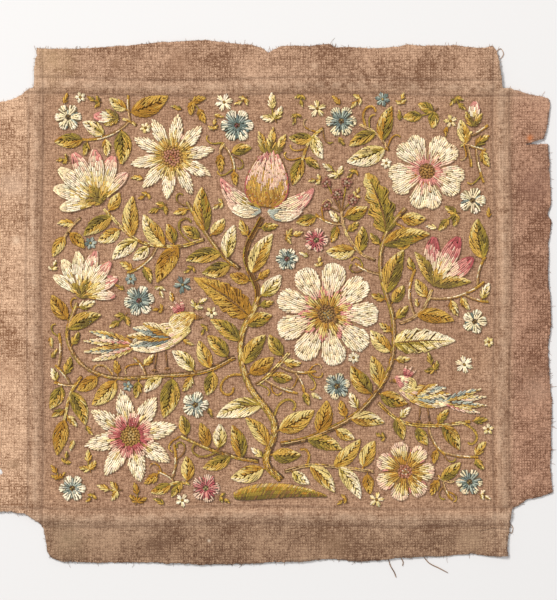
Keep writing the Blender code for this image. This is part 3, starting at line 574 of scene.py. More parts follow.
def sewn_object(basket, material, nodes):
    """The finished piece of a basket, riding on the body and standing for its CAD nodes."""
    rows = np.vstack(basket.stitches) if basket.stitches else np.zeros((0, STITCH_COLUMNS))
    knots = np.vstack(basket.knots) if basket.knots else np.zeros((0, KNOT_COLUMNS))
    points = [stitch_tubes(rows).reshape(-1, 3), knot_points(knots).reshape(-1, 3)]
    rings = len(RINGS)
    faces = [tube_faces(len(rows), rings, 4), knot_faces(len(knots)) + len(rows) * rings * 4]
    colours = [np.repeat(rows[:, 8:11], rings * 4, axis=0), np.repeat(knots[:, 4:7], KNOT_POINTS, axis=0)]
    for left, right, height, colour in basket.pads:
        slab, walls = pad_slab(left, right, height)
        faces.append(walls + sum(map(len, points)))
        points.append(slab)
        colours.append(np.tile(colour, (len(slab), 1)))
    points, faces, colours = np.vstack(points), np.vstack(faces), np.vstack(colours)
    made = mesh_object(basket.name, points, faces)
    # colours per point: the dyed stitches, and the pads darkened as painted shade
    dye = made.data.attributes.new("dye", "FLOAT_COLOR", "POINT")
    dye.data.foreach_set("color", np.column_stack([colours, np.ones(len(colours))]).ravel())
    long = np.hypot(rows[:, 2] - rows[:, 0], rows[:, 3] - rows[:, 1])
    run = (long[:, None, None] * RINGS[None, :, None] + np.zeros((1, 1, 4))).ravel()
    turn = np.broadcast_to(np.arange(4) / 4, (len(rows), rings, 4)).ravel()
    uv_points = np.zeros((len(points), 2))
    uv_points[:len(run)] = np.column_stack([run, turn])
    uv = made.data.uv_layers.new(name="along_yarn")
    corner_points = np.empty(len(made.data.loops), np.int32)
    made.data.loops.foreach_get("vertex_index", corner_points)
    uv.data.foreach_set("uv", uv_points[corner_points].ravel())
    made.data.materials.append(material)
    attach(made, "root")
    if nodes:
        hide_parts(*nodes)
    print(made.name, len(rows), "stitches", len(knots), "knots")
    return made

# %% [markdown]
# Crewel is shaded by changing skeins, not by mixing, so a stitch takes one skein out of a row of them. A
# little chance in the choice breaks the border between two shades, as long and short stitch does.

# %% Choosing a skein, and keeping columns evenly spread
def shaded(basket, skeins, place, spread=0.07):
    """Colours (n, 3): the place from 0 to 1, blurred by chance, picks one of the skeins in order."""
    place = np.asarray(place, float).ravel()
    place = place + basket.rng.normal(0, spread, place.shape)
    index = np.clip((place * len(skeins)).astype(int), 0, len(skeins) - 1)
    return np.array([WOOL[name] for name in skeins])[index]


def even_rank(count):
    """A rank from 0 to 1 for each of count columns, with its bits reversed, so that the columns under any
    rank are spread evenly."""
    index, rank, part = np.arange(count), np.zeros(count), 0.5
    while index.any():
        rank += part * (index % 2)
        index, part = index // 2, part / 2
    return rank


print("ranks of eight columns", even_rank(8))

# %% [markdown]
# Petals and breasts are in long and short stitch: rows of stitches along the shape, whose ends bite into
# the row before. Columns give way where the shape narrows, or the wool would heap up at the point.

# %% Long and short stitch
PITCH = 1.5
FINE_PITCH = 1.65


def blade_pad(basket, blade, skein):
    """The ground under a blade, a little inside its outline."""
    u = np.linspace(0.03, 0.96, 22)
    basket.pad(on_blade(blade, u, np.full(22, 0.93)), on_blade(blade, u, np.full(22, -0.93)), skein)


def long_and_short(basket, blade, skeins, lift=0.6, stitch=5.0, pitch=FINE_PITCH, dome=0.8, spread=0.09):
    """Fills a blade with stitches along it. A column goes on only while its rank is below the share of
    the full width that the blade has there."""
    blade_pad(basket, blade, skeins[len(skeins) // 2])
    columns = max(int(blade.width / pitch), 3)
    rows = int(np.ceil(blade.length / stitch)) + 1
    column, row = np.meshgrid(np.arange(columns), np.arange(rows), indexing="ij")
    across = ((column + 0.5) / columns * 2 - 1) * 0.97
    chance = basket.rng.random((2, columns, rows))
    first = (row - 1 + basket.rng.random((columns, 1)) + 0.3 * chance[0]) * stitch / blade.length
    last = first + stitch * (1.15 + 0.2 * chance[1]) / blade.length
    first, last = np.clip(first, 0.015, 0.985), np.clip(last, 0.015, 0.985)
    middle = (first + last) / 2
    keep = even_rank(columns)[:, None] < leaf_half_width(blade.kind, middle) * 1.12 + 0.05
    keep &= (last - first) * blade.length > 1.6
    first, last, across, middle = first[keep], last[keep], across[keep], middle[keep]
    swell = dome * np.sqrt(np.clip(1 - across**2, 0, 1)) * np.minimum(1, 4 * middle * (1 - middle) + 0.3)
    basket.sew(on_blade(blade, first, across), on_blade(blade, last, across), lift + swell,
               lift + swell, shaded(basket, skeins, middle, spread))


# %% [markdown]
# Leaves are in fishbone stitch: every stitch slants forward from the midrib to the edge, in turn on either
# side. The slant is small, so the edge stays smooth, and a wide leaf is worked in bands of short stitches.

# %% Fishbone and satin stitch
def fishbone(basket, blade, left, right, lift=0.6, slant=21, pitch=PITCH, stitch=5.6, dome=0.7):
    """Fills a leaf from its midrib: a line from u reaches the edge at u + half width / tan(slant). The line
    is cut into as many stitches as give each about the stated length."""
    if blade.width > 5:
        blade_pad(basket, blade, right[0])
    half = blade.width / 2
    bands = int(np.clip(round(half / sin(radians(slant)) / stitch), 1, 6))
    step = pitch / sin(radians(slant)) / blade.length
    greatest = half / np.tan(radians(slant)) / blade.length
    for side, skeins in ((1, left), (-1, right)):
        place = np.arange(-min(greatest, 0.8), 0.96, step) + step * (0.25 + 0.25 * side)
        place = place + basket.rng.normal(0, 0.12 * step, place.shape)
        ahead = greatest * leaf_half_width(blade.kind, np.clip(place + greatest / 2, 0.3, 0.92))
        for band in range(bands):
            chance = basket.rng.normal(0, 0.2 / bands, (2, len(place)))
            inner = (band - 0.3) / bands + (chance[0] if band else 0.15)
            outer = (band + 1) / bands + (chance[1] if band < bands - 1 else 0.02 * chance[1])
            start = np.clip(place + ahead * inner, 0, 0.99)
            end = np.clip(np.maximum(place + ahead * outer, start + 3.6 / blade.length), 0.01, 1)
            keep = (place + ahead * outer > 0.04) & ((end - start) * blade.length > 1.4)
            rise = lift + dome * (1 - 0.8 * band / bands)
            colours = shaded(basket, skeins, 0.7 * (start + end) / 2 + 0.3 * (band + 0.5) / bands, 0.08)
            basket.sew(on_blade(blade, start, side * inner)[keep], on_blade(blade, end, side * outer)[keep],
                       rise, rise - dome * 0.8 / bands * 0.9, colours[keep])
        if blade.width > 9:
            stem_row(basket, edge_path(blade, side), skeins, lift=0.5, width=1.15, spread=0.2)


def satin(basket, blade, skeins, lift=0.55, pitch=PITCH, slant=0.0, low=-1, high=1, dome=0.3, spread=0.04):
    """Fills a blade, or the strip of it between two shares of its half width, with stitches across it."""
    u = np.arange(0.02, 0.985, pitch / blade.length)
    u = u + basket.rng.normal(0, 0.08 * pitch / blade.length, u.shape)
    lean = slant * blade.width / blade.length * leaf_half_width(blade.kind, u)
    start = on_blade(blade, np.clip(u - lean, 0, 1), low + 0 * u)
    basket.sew(start, on_blade(blade, np.clip(u + lean, 0, 1), high + 0 * u), lift, lift,
               shaded(basket, skeins, u, spread), bow=0.25 + dome)


# %% [markdown]
# Stems, veins and outlines are rows of stem stitch, each stitch beginning beside the middle of the last,
# so a row looks like a fine rope. A stem is several rows lying side by side, dark outside, light inside.

# %% Stem stitch in rows
def stem_row(basket, path, skeins, offset=0.0, lift=0.5, step=3.2, stitch=4.6, width=1.45, end_offset=None,
             spread=0.12):
    """A rope of slanting stitches along a path, at an offset that may change evenly to end_offset."""
    length = run_of(path)[-1]
    at = np.arange(basket.rng.random() * 0.5 * step, max(length - 1.2, 0.1), step)
    after = np.minimum(at + stitch, length)
    end_offset = offset if end_offset is None else end_offset
    near, far = (offset + (end_offset - offset) * run / length for run in (at, after))
    start, end = on_path(path, at, near + 0.36)[0], on_path(path, after, far - 0.36)[0]
    basket.sew(start, end, lift, lift, shaded(basket, skeins, at / length, spread), width=width, bow=0.3)


def edge_path(blade, side):
    """The edge of a blade on one side, from base to tip."""
    u = np.linspace(0.02, 0.985, 60)
    return on_blade(blade, u, np.full(60, side * 0.98))


def outline_rows(basket, blade, skeins, lift=0.75, width=1.2):
    """A row of stem stitch along both edges of a blade."""
    for side in (1, -1):
        stem_row(basket, edge_path(blade, side), skeins, lift=lift, width=width)


def vein_row(basket, blade, skeins, lift=1.25, low=0.04, high=0.85, width=1.2):
    """A row of stem stitch along the midrib of a blade."""
    u = np.linspace(low, high, 40)
    stem_row(basket, on_blade(blade, u, 0 * u), skeins, lift=lift, width=width)


# %% [markdown]
# Where one shape lies over another, the lower one is left unworked under it. So before an upper shape is
# sewn, the stitches inside its outline are taken out. A crossing count tells inside from outside.

# %% Clearing the ground under an upper shape
def blade_outline(blade, grow=1.0):
    """The outline of a blade as a closed ring of points."""
    u = np.linspace(0, 1, 50)
    return np.vstack([on_blade(blade, u, np.full(50, grow)), on_blade(blade, u[::-1], np.full(50, -grow))])


def inside(points, ring):
    """Whether each point is inside a ring: a ray to the right crosses its edges an odd number of times."""
    x, y = points[:, 0, None], points[:, 1, None]
    x0, y0 = ring[:, 0], ring[:, 1]
    x1, y1 = np.roll(x0, -1), np.roll(y0, -1)
    spans = (y0 > y) != (y1 > y)
    rise = np.where(y1 == y0, 1e-9, y1 - y0)
    return (spans & (x < x0 + (y - y0) * (x1 - x0) / rise)).sum(axis=1) % 2 == 1


def clear_under(basket, ring):
    """Takes out the stitches whose middle is inside the ring."""
    for i, rows in enumerate(basket.stitches):
        basket.stitches[i] = rows[~inside((rows[:, 0:2] + rows[:, 2:4]) / 2, ring)]
    for i, rows in enumerate(basket.knots):
        basket.knots[i] = rows[~inside(rows[:, 0:2], ring)]


# %% [markdown]
# Flower centres and berries are packed with French knots. Seeds in a real flower head stand a golden angle
# apart, and the same rule packs knots without gaps or rows.

# %% Knots packed in a disc
def knot_disc(basket, x, y, radius, skeins, size=1.25, lift=0.7, dome=0.9):
    """Knots at radius r(k) = radius * sqrt(k / n), each turned by the golden angle from the one before."""
    count = max(int((radius / (size * 1.02)) ** 2 * 0.9), 1)
    k = np.arange(count) + 0.5
    share = np.sqrt(k / count)
    turn = k * pi * (3 - 5**0.5)
    ring = toward(np.linspace(0, 2 * pi, 25))
    basket.pad(ring * 0.4 + [x, y], ring * (radius - 0.3) + [x, y], skeins[-1], height=lift + 0.3)
    centre = np.column_stack([x + radius * share * np.cos(turn), y + radius * share * np.sin(turn)])
    centre = centre + basket.rng.normal(0, 0.12 * size, centre.shape)
    basket.knot(centre, lift + dome * (1 - share**2), size, shaded(basket, skeins, share, 0.06))


# %% Petals round a centre
def reach_at(rosette, angle):
    """Radius of a flower's edge at an angle, and the place across its petal from -1 to 1."""
    across = ((angle * rosette.petals / (2 * pi) + 0.5) % 1) * 2 - 1
    share = rosette.notch + (1 - rosette.notch) * petal_edge(rosette.form, across)
    return rosette.radius * share, across


def petals_round(basket, rosette, skeins, edge_skeins, inner, lift=0.6, stitch=5.3, pitch=FINE_PITCH,
                 gap=0.9, dome=0.9):
    """Long and short stitch out from a centre, in rings. Each ring has as many stitches as fit its round,
    and each stitch ends at the edge of its petal at the latest."""
    round_angle = np.linspace(0, 2 * pi, rosette.petals * 14 + 1)
    around = toward(round_angle + radians(rosette.turn))
    edge = around * 0.975 * reach_at(rosette, round_angle)[0][:, None]
    basket.pad(around + [rosette.x, rosette.y], edge + [rosette.x, rosette.y], skeins[len(skeins) // 2])
    for ring in range(int((rosette.radius - inner) / stitch / 0.8) + 2):
        low = inner + (ring * 0.8 - 0.7) * stitch
        count = int(2 * pi * max(low + stitch * 0.6, inner + 2) / pitch)
        angle = (np.arange(count) + basket.rng.random()) / count * 2 * pi
        reach, across = reach_at(rosette, angle)
        chance = basket.rng.random((2, count))
        start = np.maximum(low + chance[0] * 0.8 * stitch, inner * 0.9)
        end = np.minimum(low + (0.8 * chance[0] + 1.15 + 0.3 * chance[1]) * stitch,
                         reach * (1 - 0.015 * chance[1]))
        keep = (end - start > 1.7) & ((np.abs(across) < gap) | (start < rosette.radius * rosette.notch * 0.6))
        angle, start, end, across, reach = (v[keep] for v in (angle, start, end, across, reach))
        share = np.clip(((start + end) / 2 - inner) / (reach - inner), 0, 1)
        colours = shaded(basket, skeins, share)
        dark = np.abs(across) + basket.rng.normal(0, 0.05, share.shape) > 0.8
        colours[dark] = shaded(basket, edge_skeins, share)[dark]
        turned = angle + radians(rosette.turn)
        way = toward(turned)
        centre = np.array([rosette.x, rosette.y])
        swell = dome * (1 - 0.75 * across**2) * (1 - 0.6 * share**2)
        basket.sew(centre + way * start[:, None], centre + way * end[:, None], lift + swell,
                   lift + swell * 0.8, colours)


def petal_spokes(basket, rosette, skeins, inner, outer, lift, spread, count=3):
    """A few long straight stitches over the middle of each petal, as stamens. Gives back their tips."""
    middle = np.arange(rosette.petals) / rosette.petals * 2 * pi + radians(rosette.turn)
    angle = (middle[:, None] + np.linspace(-1, 1, count) * spread).ravel()
    way = toward(angle)
    centre = np.array([rosette.x, rosette.y])
    long = outer + basket.rng.normal(0, 0.5, angle.shape)
    basket.sew(centre + way * inner, centre + way * long[:, None], lift, lift * 0.8,
               shaded(basket, skeins, 0.5 + 0 * angle, 0.3), bow=0.3)
    return centre + way * long[:, None]


# %% [markdown]
# With the stitches in hand, each motif is worked. Leaves take their skeins in turn from a short list, so
# that neighbours differ, as on a panel worked over months with what wool there was.

# %% Stems with their leaves and tendrils
LEAF_SKEINS = [
    (("gold", "straw", "straw"), ("mustard", "gold", "gold")),
    (("olive", "gold", "straw"), ("moss", "olive", "gold")),
    (("straw", "cream", "ivory"), ("olive", "straw", "cream")),
    (("mustard", "gold", "gold"), ("mustard", "mustard", "gold")),
    (("gold", "gold", "straw"), ("olive", "moss", "olive")),
    (("straw", "straw", "cream"), ("mustard", "gold", "straw")),
    (("mustard", "gold", "straw"), ("moss", "olive", "mustard")),
]
TENDRIL_SKEINS = [("olive", "gold"), ("mustard", "gold"), ("brown", "olive"), ("mustard", "tan")]


def sew_leaf(basket, blade, left, right):
    """A leaf in fishbone stitch. A lobed or toothed one has steeper stitches, and it or any wide one a vein."""
    cut_edge = blade.kind in ("lobed", "toothed")
    fishbone(basket, blade, left, right, slant=42 if cut_edge else 21)
    if cut_edge:
        vein_row(basket, blade, ("brown", "bark"), lift=1.3, width=1.4)
    elif blade.width > 16:
        vein_row(basket, blade, ("brown", right[0]))


def sew_stem(stem, order):
    """One basket for a stem, its leaves, its tendrils and its berries."""
    basket = Basket(stem.name)
    path = smooth_path(stem.points, 12)
    rows = max(int(round(stem.root_width / 1.6)), 2)
    left, _ = on_path(path, run_of(path), np.linspace(stem.root_width, stem.tip_width, len(path)) * 0.45)
    basket.pad(left, 2 * path - left, "brown")
    for row in range(rows):
        share = -1 + 2 * (row + 0.5) / rows
        keep = 1.0 if abs(share) > 0.55 or stem.tip_width > rows * 0.9 else 0.72
        part = path[: max(int(len(path) * keep), 3)]
        tip = stem.root_width + (stem.tip_width - stem.root_width) * keep
        outer = ("bark", "brown", "brown") if share < 0 else ("mustard", "brown", "olive")
        inner = (("gold", "brown", "tan", "mustard", "straw"), ("tan", "brown", "gold", "straw", "tan"))[order % 2]
        skeins = outer if abs(share) > 0.55 else inner
        stem_row(basket, part, skeins, offset=share * stem.root_width / 2,
                 end_offset=share * tip / 2, lift=0.5 + 0.5 * (1 - abs(share)), spread=0.7)
    for number, leaf in enumerate(row for row in LEAVES if row.stem == stem.name):
        start, heading = shoot_root(stem, leaf)
        blade = Blade(start, heading, leaf.length, leaf.width, radians(leaf.bend), leaf.kind)
        left, right = LEAF_SKEINS[(number * 2 + order) % len(LEAF_SKEINS)]
        sew_leaf(basket, blade, left, right)
    for number, shoot in enumerate(row for row in TENDRILS if row.stem == stem.name):
        start, heading = shoot_root(stem, shoot)
        curl = curl_path(start, heading, shoot.length, shoot.first_turn, shoot.last_turn)
        skeins = TENDRIL_SKEINS[(number + order) % len(TENDRIL_SKEINS)]
        stem_row(basket, curl, skeins, offset=0.5, step=2.8, stitch=4.2, width=1.3)
        stem_row(basket, curl, skeins[::-1], offset=-0.5, step=2.8, stitch=4.2, width=1.3)
    if stem.name == "stem_berries":
        for berry in BERRIES:
            stalk = np.linspace(path[-1] - [0, 1.5], [berry.x, berry.y], 8)
            stem_row(basket, stalk, ("brown", "olive"), lift=0.3, width=1.5)
        for berry in BERRIES:
            knot_disc(basket, berry.x, berry.y, berry.radius - 0.4,
                      ("cream", "blush", "rose", "rose"), size=1.3, dome=1.0)
    return basket


baskets = {}
for order, stem in enumerate(STEMS):
    baskets[stem.name] = sew_stem(stem, order)
print("stems", sum(len(rows) for made in baskets.values() for rows in made.stitches), "stitches")

# %% Large flowers
FlowerLook = namedtuple("FlowerLook", "skeins edge inner heart heart_skeins")
FLOWER_LOOKS = {
    "flower_round": FlowerLook(("rose", "blush", "cream", "ivory", "cream", "ivory"), ("rose", "blush", "cream"),
                               10, 10, ("olive", "moss", "bark")),
    "flower_wheel": FlowerLook(("gold", "straw", "cream", "ivory", "ivory", "cream"),
                               ("olive", "gold", "blush", "cream"), 11, 11.5, ("deep_rose", "rose", "gold")),
    "flower_five": FlowerLook(("rose", "blush", "cream", "ivory", "ivory", "cream"), ("rose", "blush", "cream"),
                              8, 8, ("gold", "mustard", "brown")),
    "flower_star": FlowerLook(("olive", "straw", "cream", "ivory", "ivory", "cream"),
                              ("moss", "olive", "straw", "cream"), 12, 11, ("straw", "gold", "olive")),
    "flower_seven": FlowerLook(("mustard", "gold", "straw", "cream", "blush"), ("brown", "mustard", "rose"),
                               7, 7, ("brown", "deep_rose", "rose")),
}
UpperLook = namedtuple("UpperLook", "share turn form notch skeins edge inner")
UPPER_LOOKS = {
    "flower_round": UpperLook(0.56, 20, "point", 0.5, ("mustard", "gold", "straw", "rose"), ("brown", "olive"), 9),
    "flower_star": UpperLook(0.5, 34.5, "round", 0.62, ("deep_rose", "rose", "blush"), ("deep_rose", "rose"), 10),
}


def sew_flower(rosette):
    """A large flower: its petals, then what lies over them, then the knots of its centre."""
    basket = Basket(rosette.name)
    look = FLOWER_LOOKS[rosette.name]
    petals_round(basket, rosette, look.skeins, look.edge, look.inner)
    if rosette.name in UPPER_LOOKS:
        over = UPPER_LOOKS[rosette.name]
        upper = rosette._replace(radius=rosette.radius * over.share, turn=over.turn, form=over.form,
                                 notch=over.notch)
        clear_under(basket, flower_ring(upper))
        petals_round(basket, upper, over.skeins, over.edge, over.inner, lift=1.0, stitch=5.0)
    if rosette.name == "flower_five":
        tips = petal_spokes(basket, rosette, ("mustard", "brown"), 8, 19, spread=0.2, lift=1.2)
        basket.knot(tips, 1.1, 1.0, WOOL["gold"])
    knot_disc(basket, rosette.x, rosette.y, look.heart, look.heart_skeins, size=1.3)
    return basket


def flower_ring(rosette):
    """The edge of a flower as a closed ring of points."""
    angle = np.linspace(0, 2 * pi, 200, endpoint=False)
    turned = angle + radians(rosette.turn)
    around = toward(turned)
    return around * reach_at(rosette, angle)[0][:, None] + [rosette.x, rosette.y]


for rosette in ROSETTES:
    if rosette.name in FLOWER_LOOKS:
        baskets[rosette.name] = sew_flower(rosette)
print("flower_round", sum(map(len, baskets["flower_round"].stitches)), "stitches")

# %% Small blossoms
BLOSSOM_SKEINS = [
    (("slate", "blue", "cream"), ("slate", "blue"), "gold"),
    (("cream", "cream", "ivory"), ("blue", "slate"), "mustard"),
    (("slate", "blue", "ivory"), ("slate",), "deep_rose"),
    (("deep_rose", "rose", "blush"), ("deep_rose",), "straw"),
    (("blue", "ivory", "ivory"), ("slate", "blue"), "gold"),
]
for number, rosette in enumerate(row for row in ROSETTES if row.name not in FLOWER_LOOKS):
    basket = Basket(rosette.name)
    skeins, edge, heart = BLOSSOM_SKEINS[number % len(BLOSSOM_SKEINS)]
    petals_round(basket, rosette, skeins, edge, 2.5, stitch=5.6, pitch=1.65, dome=0.6)
    knot_disc(basket, rosette.x, rosette.y, 3.3, (heart, "brown"), size=1.15, lift=0.6)
    baskets[rosette.name] = basket
print("blossoms", number + 1)

# %% [markdown]
# Fan flowers, the cup, the fruit and the birds are worked lobe by lobe, from the back to the front. Each
# lobe has its own stitch, chosen by what it is on the motif.

# %% Fan, cup, buds and mound
CUP_SKEINS = ("gold", "cream", "blush", "rose", "deep_rose")
FAN_SKEINS = [("olive", "straw", "ivory", "ivory", "cream", "cream"),
              ("gold", "straw", "cream", "ivory", "blush", "rose")]
MOUND_BANDS = [(-1, -0.42, ("moss", "bark", "brown", "moss")), (-0.52, 0.12, ("olive", "moss", "mustard", "brown")),
               (0.02, 0.62, ("mustard", "olive", "gold", "olive")), (0.52, 1, ("gold", "tan", "straw", "gold"))]


def sew_group(group):
    """Fan flowers, cup, buds and mound: petals in long and short stitch, sepals in fishbone, and the mound in
    four bands of satin stitch, dark below and light above."""
    basket = Basket(group.name)
    petal_number = 0
    for blade in group_blades(group):
        clear_under(basket, blade_outline(blade, 1.04))
        if group.name == "mound":
            blade_pad(basket, blade, "moss")
            for low, high, skeins in MOUND_BANDS:
                satin(basket, blade, skeins, lift=0.8, slant=0.12, low=low, high=high, spread=0.5)
        elif blade.kind == "petal":
            petal_number += 1
            cup = group.name.startswith("cup")
            long_and_short(basket, blade, CUP_SKEINS if cup else FAN_SKEINS[petal_number % 2])
        elif blade.kind == "broad":
            fishbone(basket, blade, ("moss", "olive", "gold"), ("moss", "olive"), slant=38, lift=0.7)
        else:
            fishbone(basket, blade, ("olive", "gold", "straw"), ("moss", "olive"), lift=0.5)
    return basket


for group in GROUPS:
    if not group.name.startswith(("bird", "fruit")):
        baskets[group.name] = sew_group(group)
print("groups so far", len(baskets))

# %% Fruit with its trellis
TRELLIS_TURN = radians(52)


def trellis(basket, blade, spacing, skeins, knot_skein, lift=1.3):
    """Couched threads over a blade in two slanting directions, in pieces that end where they cross, with
    a knot on every crossing inside the blade."""
    middle = on_blade(blade, np.array([0.5]), np.array([0.0]))[0]
    ring = blade_outline(blade, 0.97)
    for turn in (blade.heading + TRELLIS_TURN, blade.heading - TRELLIS_TURN):
        way = toward(turn)
        side = np.array([-sin(turn), cos(turn)])
        line, step = np.meshgrid(np.arange(-8, 9) * spacing, np.arange(-24, 24) * spacing / 3, indexing="ij")
        start = middle + line.reshape(-1, 1) * side + step.reshape(-1, 1) * way
        end = start + way * spacing / 3
        keep = inside(start, ring) & inside(end, ring)
        basket.sew(start[keep], end[keep] + way * 0.4, lift, lift, shaded(basket, skeins, 0 * start[keep, 0]),
                   width=1.0, bow=0.05)
    first = middle + np.stack(np.meshgrid(np.arange(-9, 10), np.arange(-9, 10)), axis=-1).reshape(-1, 2) @ (
        np.array([[cos(blade.heading), sin(blade.heading)], [-sin(blade.heading), cos(blade.heading)]])
        * np.array([[spacing / 2 / sin(TRELLIS_TURN)], [spacing / 2 / cos(TRELLIS_TURN)]]))
    basket.knot(first[inside(first, blade_outline(blade, 0.86))][::2], lift + 0.2, 1.1, WOOL[knot_skein])


def sew_fruit(group):
    """The split fruit: leaves behind, a trellis body, and three sepals on top."""
    basket = Basket(group.name)
    blades = group_blades(group)
    for number, blade in enumerate(blades[1:5]):
        clear_under(basket, blade_outline(blade, 1.02))
        skeins = (("olive", "cream", "blush", "rose"), ("blue", "cream", "ivory", "blush"))[number // 2]
        long_and_short(basket, blade, skeins)
    clear_under(basket, blade_outline(blades[0], 1.02))
    long_and_short(basket, blades[0], ("mustard", "gold", "blush", "blush", "rose"), lift=0.5, dome=0.9)
    outline_rows(basket, blades[0], ("deep_rose", "brown"), lift=0.8, width=1.5)
    trellis(basket, blades[0], 6.2, ("deep_rose", "brown"), "straw")
    for blade in blades[5:]:
        clear_under(basket, blade_outline(blade, 1.02))
        fishbone(basket, blade, ("olive", "straw"), ("moss", "gold"), lift=0.6)
    return basket


baskets["fruit"] = sew_fruit(next(group for group in GROUPS if group.name == "fruit"))
print("fruit", sum(map(len, baskets["fruit"].stitches)), "stitches")

# %% Birds
BIRD_SKEINS = {"bird_left": (("cream", "ivory", "blush", "cream", "straw"), ("cream", "straw", "gold")),
               "bird_right": (("cream", "straw", "gold", "straw", "blush"), ("straw", "cream", "rose"))}
TAIL_SKEINS = [(("slate", "blue", "cream"), ("mustard", "gold", "straw")),
               (("gold", "straw", "cream"), ("rose", "blush", "cream"))]
WING_SKEINS = [(("slate", "blue"), ("blue", "cream")), (("mustard", "gold"), ("straw", "cream"))]


def sew_bird(group):
    """A bird: tail, body, head, beak, wing, crest and legs, from the back to the front."""
    basket = Basket(group.name)
    blades = group_blades(group)
    tail, body, head, beak, wing, crest, legs = (
        blades[0:4], blades[4], blades[5], blades[6], blades[7:11], blades[11:14], blades[14:16])
    breast, crown = BIRD_SKEINS[group.name]
    for number, blade in enumerate(tail):
        clear_under(basket, blade_outline(blade, 1.05))
        fishbone(basket, blade, *TAIL_SKEINS[number % 2], slant=17, stitch=5.0)
        vein_row(basket, blade, ("brown", "slate"), lift=1.2, high=0.95)
    clear_under(basket, blade_outline(body, 1.02))
    long_and_short(basket, body, breast, stitch=4.8, dome=1.0, lift=0.45, spread=0.2)
    clear_under(basket, blade_outline(head, 1.0))
    long_and_short(basket, head, crown, stitch=4.0, lift=0.6, dome=0.9, spread=0.2)
    satin(basket, beak, ("mustard", "brown"), lift=0.6)
    for number, blade in enumerate(wing[::-1]):
        clear_under(basket, blade_outline(blade, 1.03))
        fishbone(basket, blade, *WING_SKEINS[number % 2], slant=20, stitch=5.0, lift=0.8)
    for blade in crest:
        satin(basket, blade, ("deep_rose", "rose", "blush"), lift=0.4)
    for blade in legs:
        u = np.linspace(0, 1, 12)
        stem_row(basket, on_blade(blade, u, 0 * u), ("brown", "bark"), lift=0.4, width=1.5)
        foot, heading = arc_point(blade.start, blade.heading, blade.length, blade.bend, 1.0)
        for spread in (-50, 0, 50):
            turn = heading + radians(spread)
            basket.sew(foot, foot + 3.6 * toward(turn), 0.4, 0.3, WOOL["brown"])
    eye = on_blade(head, np.array([0.6]), np.array([0.1 * group.mirror]))
    turn = np.arange(8) * pi / 4
    ring = eye + 1.9 * toward(turn)
    basket.sew(ring, np.roll(ring, -1, axis=0), 1.6, 1.6, WOOL["ivory"], width=0.9, bow=0.1)
    basket.knot(eye, 1.5, 1.2, WOOL["bark"])
    return basket


for group in GROUPS:
    if group.name.startswith("bird"):
        baskets[group.name] = sew_bird(group)
print("motifs worked", len(baskets), "stitches",
      sum(len(rows) for made in baskets.values() for rows in made.stitches))

# %% [markdown]
# A crewel worker leaves no ground empty for long: the stems put out more leaves and curls, and the last
# gaps get sprigs, small blooms and knots. A map of the field, a square to each millimetre, says what is
# taken. Leaves are tried along every stem, the long ones first, and sewn where their ground is free.

# %% Map of the ground
FIELD = np.array([[-214, -187], [209, 205]])


class Ground:
    """Which squares of the field hold stitches already."""

    def __init__(self, basket_list):
        self.taken = np.zeros((FIELD[1] - FIELD[0] + 1), bool)
        for basket in basket_list:
            for rows in basket.stitches:
                self.mark(rows[:, 0:2], rows[:, 2:4])

    def mark(self, start, end):
        """Takes the squares along lines from start to end, and those next to them."""
        for share in np.linspace(0, 1, 10):
            cell = np.round(start * (1 - share) + end * share).astype(int) - FIELD[0]
            for dx in (-1, 0, 1):
                for dy in (-1, 0, 1):
                    spread = np.clip(cell + [dx, dy], 0, FIELD[1] - FIELD[0])
                    self.taken[spread[:, 0], spread[:, 1]] = True

    def free(self, points):
        """Whether every one of the points, (..., 2), is inside the field and free."""
        cell = np.round(points).astype(int) - FIELD[0]
        within = ((cell >= 0) & (cell <= FIELD[1] - FIELD[0])).all(axis=-1)
        cell = np.clip(cell, 0, FIELD[1] - FIELD[0])
        return (within & ~self.taken[cell[..., 0], cell[..., 1]]).all(axis=-1)


ground = Ground(baskets.values())
print("worked share of the field", round(float(ground.taken.mean()), 2))

# %% Twigs, leaves and curls that grow into free ground
def grow_twigs(basket, ground, count=26):
    """Tries thin side branches from the stems, each bent evenly, where a strip to both sides is free."""
    grown = []
    for attempt in range(6000):
        parents = STEMS + grown
        stem = parents[attempt % len(parents)]
        path = smooth_path(stem.points, 12)
        spot, heading = on_path(path, (0.1 + 0.9 * basket.rng.random()) * run_of(path)[-1], 0)
        side = basket.rng.choice([-1, 1])
        length = 20 + 40 * basket.rng.random() * (1 - attempt / 6500)
        twig, _ = arc_point(spot, heading + side * (0.6 + 0.5 * basket.rng.random()), length,
                            side * basket.rng.uniform(-1.0, 0.8), np.linspace(0, 1, 14))
        strip = np.concatenate([on_path(twig, np.linspace(6, length, 12), offset)[0]
                                for offset in (-3.6, 0, 3.6)])
        if not ground.free(strip):
            continue
        for offset, skeins in ((-0.55, ("brown", "mustard")), (0.55, ("tan", "cream", "gold"))):
            stem_row(basket, twig, skeins, offset=offset, width=1.4)
        ground.mark(twig[:-1], twig[1:])
        grown.append(Stem(f"twig_{len(grown)}", 2.4, 2.0, [tuple(point) for point in twig[::3]]))
        if len(grown) == count:
            break
    return grown


LEAF_SIZES = [(38, 18), (32, 16), (27, 14), (23, 12.5), (19, 10.5), (16, 9), (13, 7.5)]


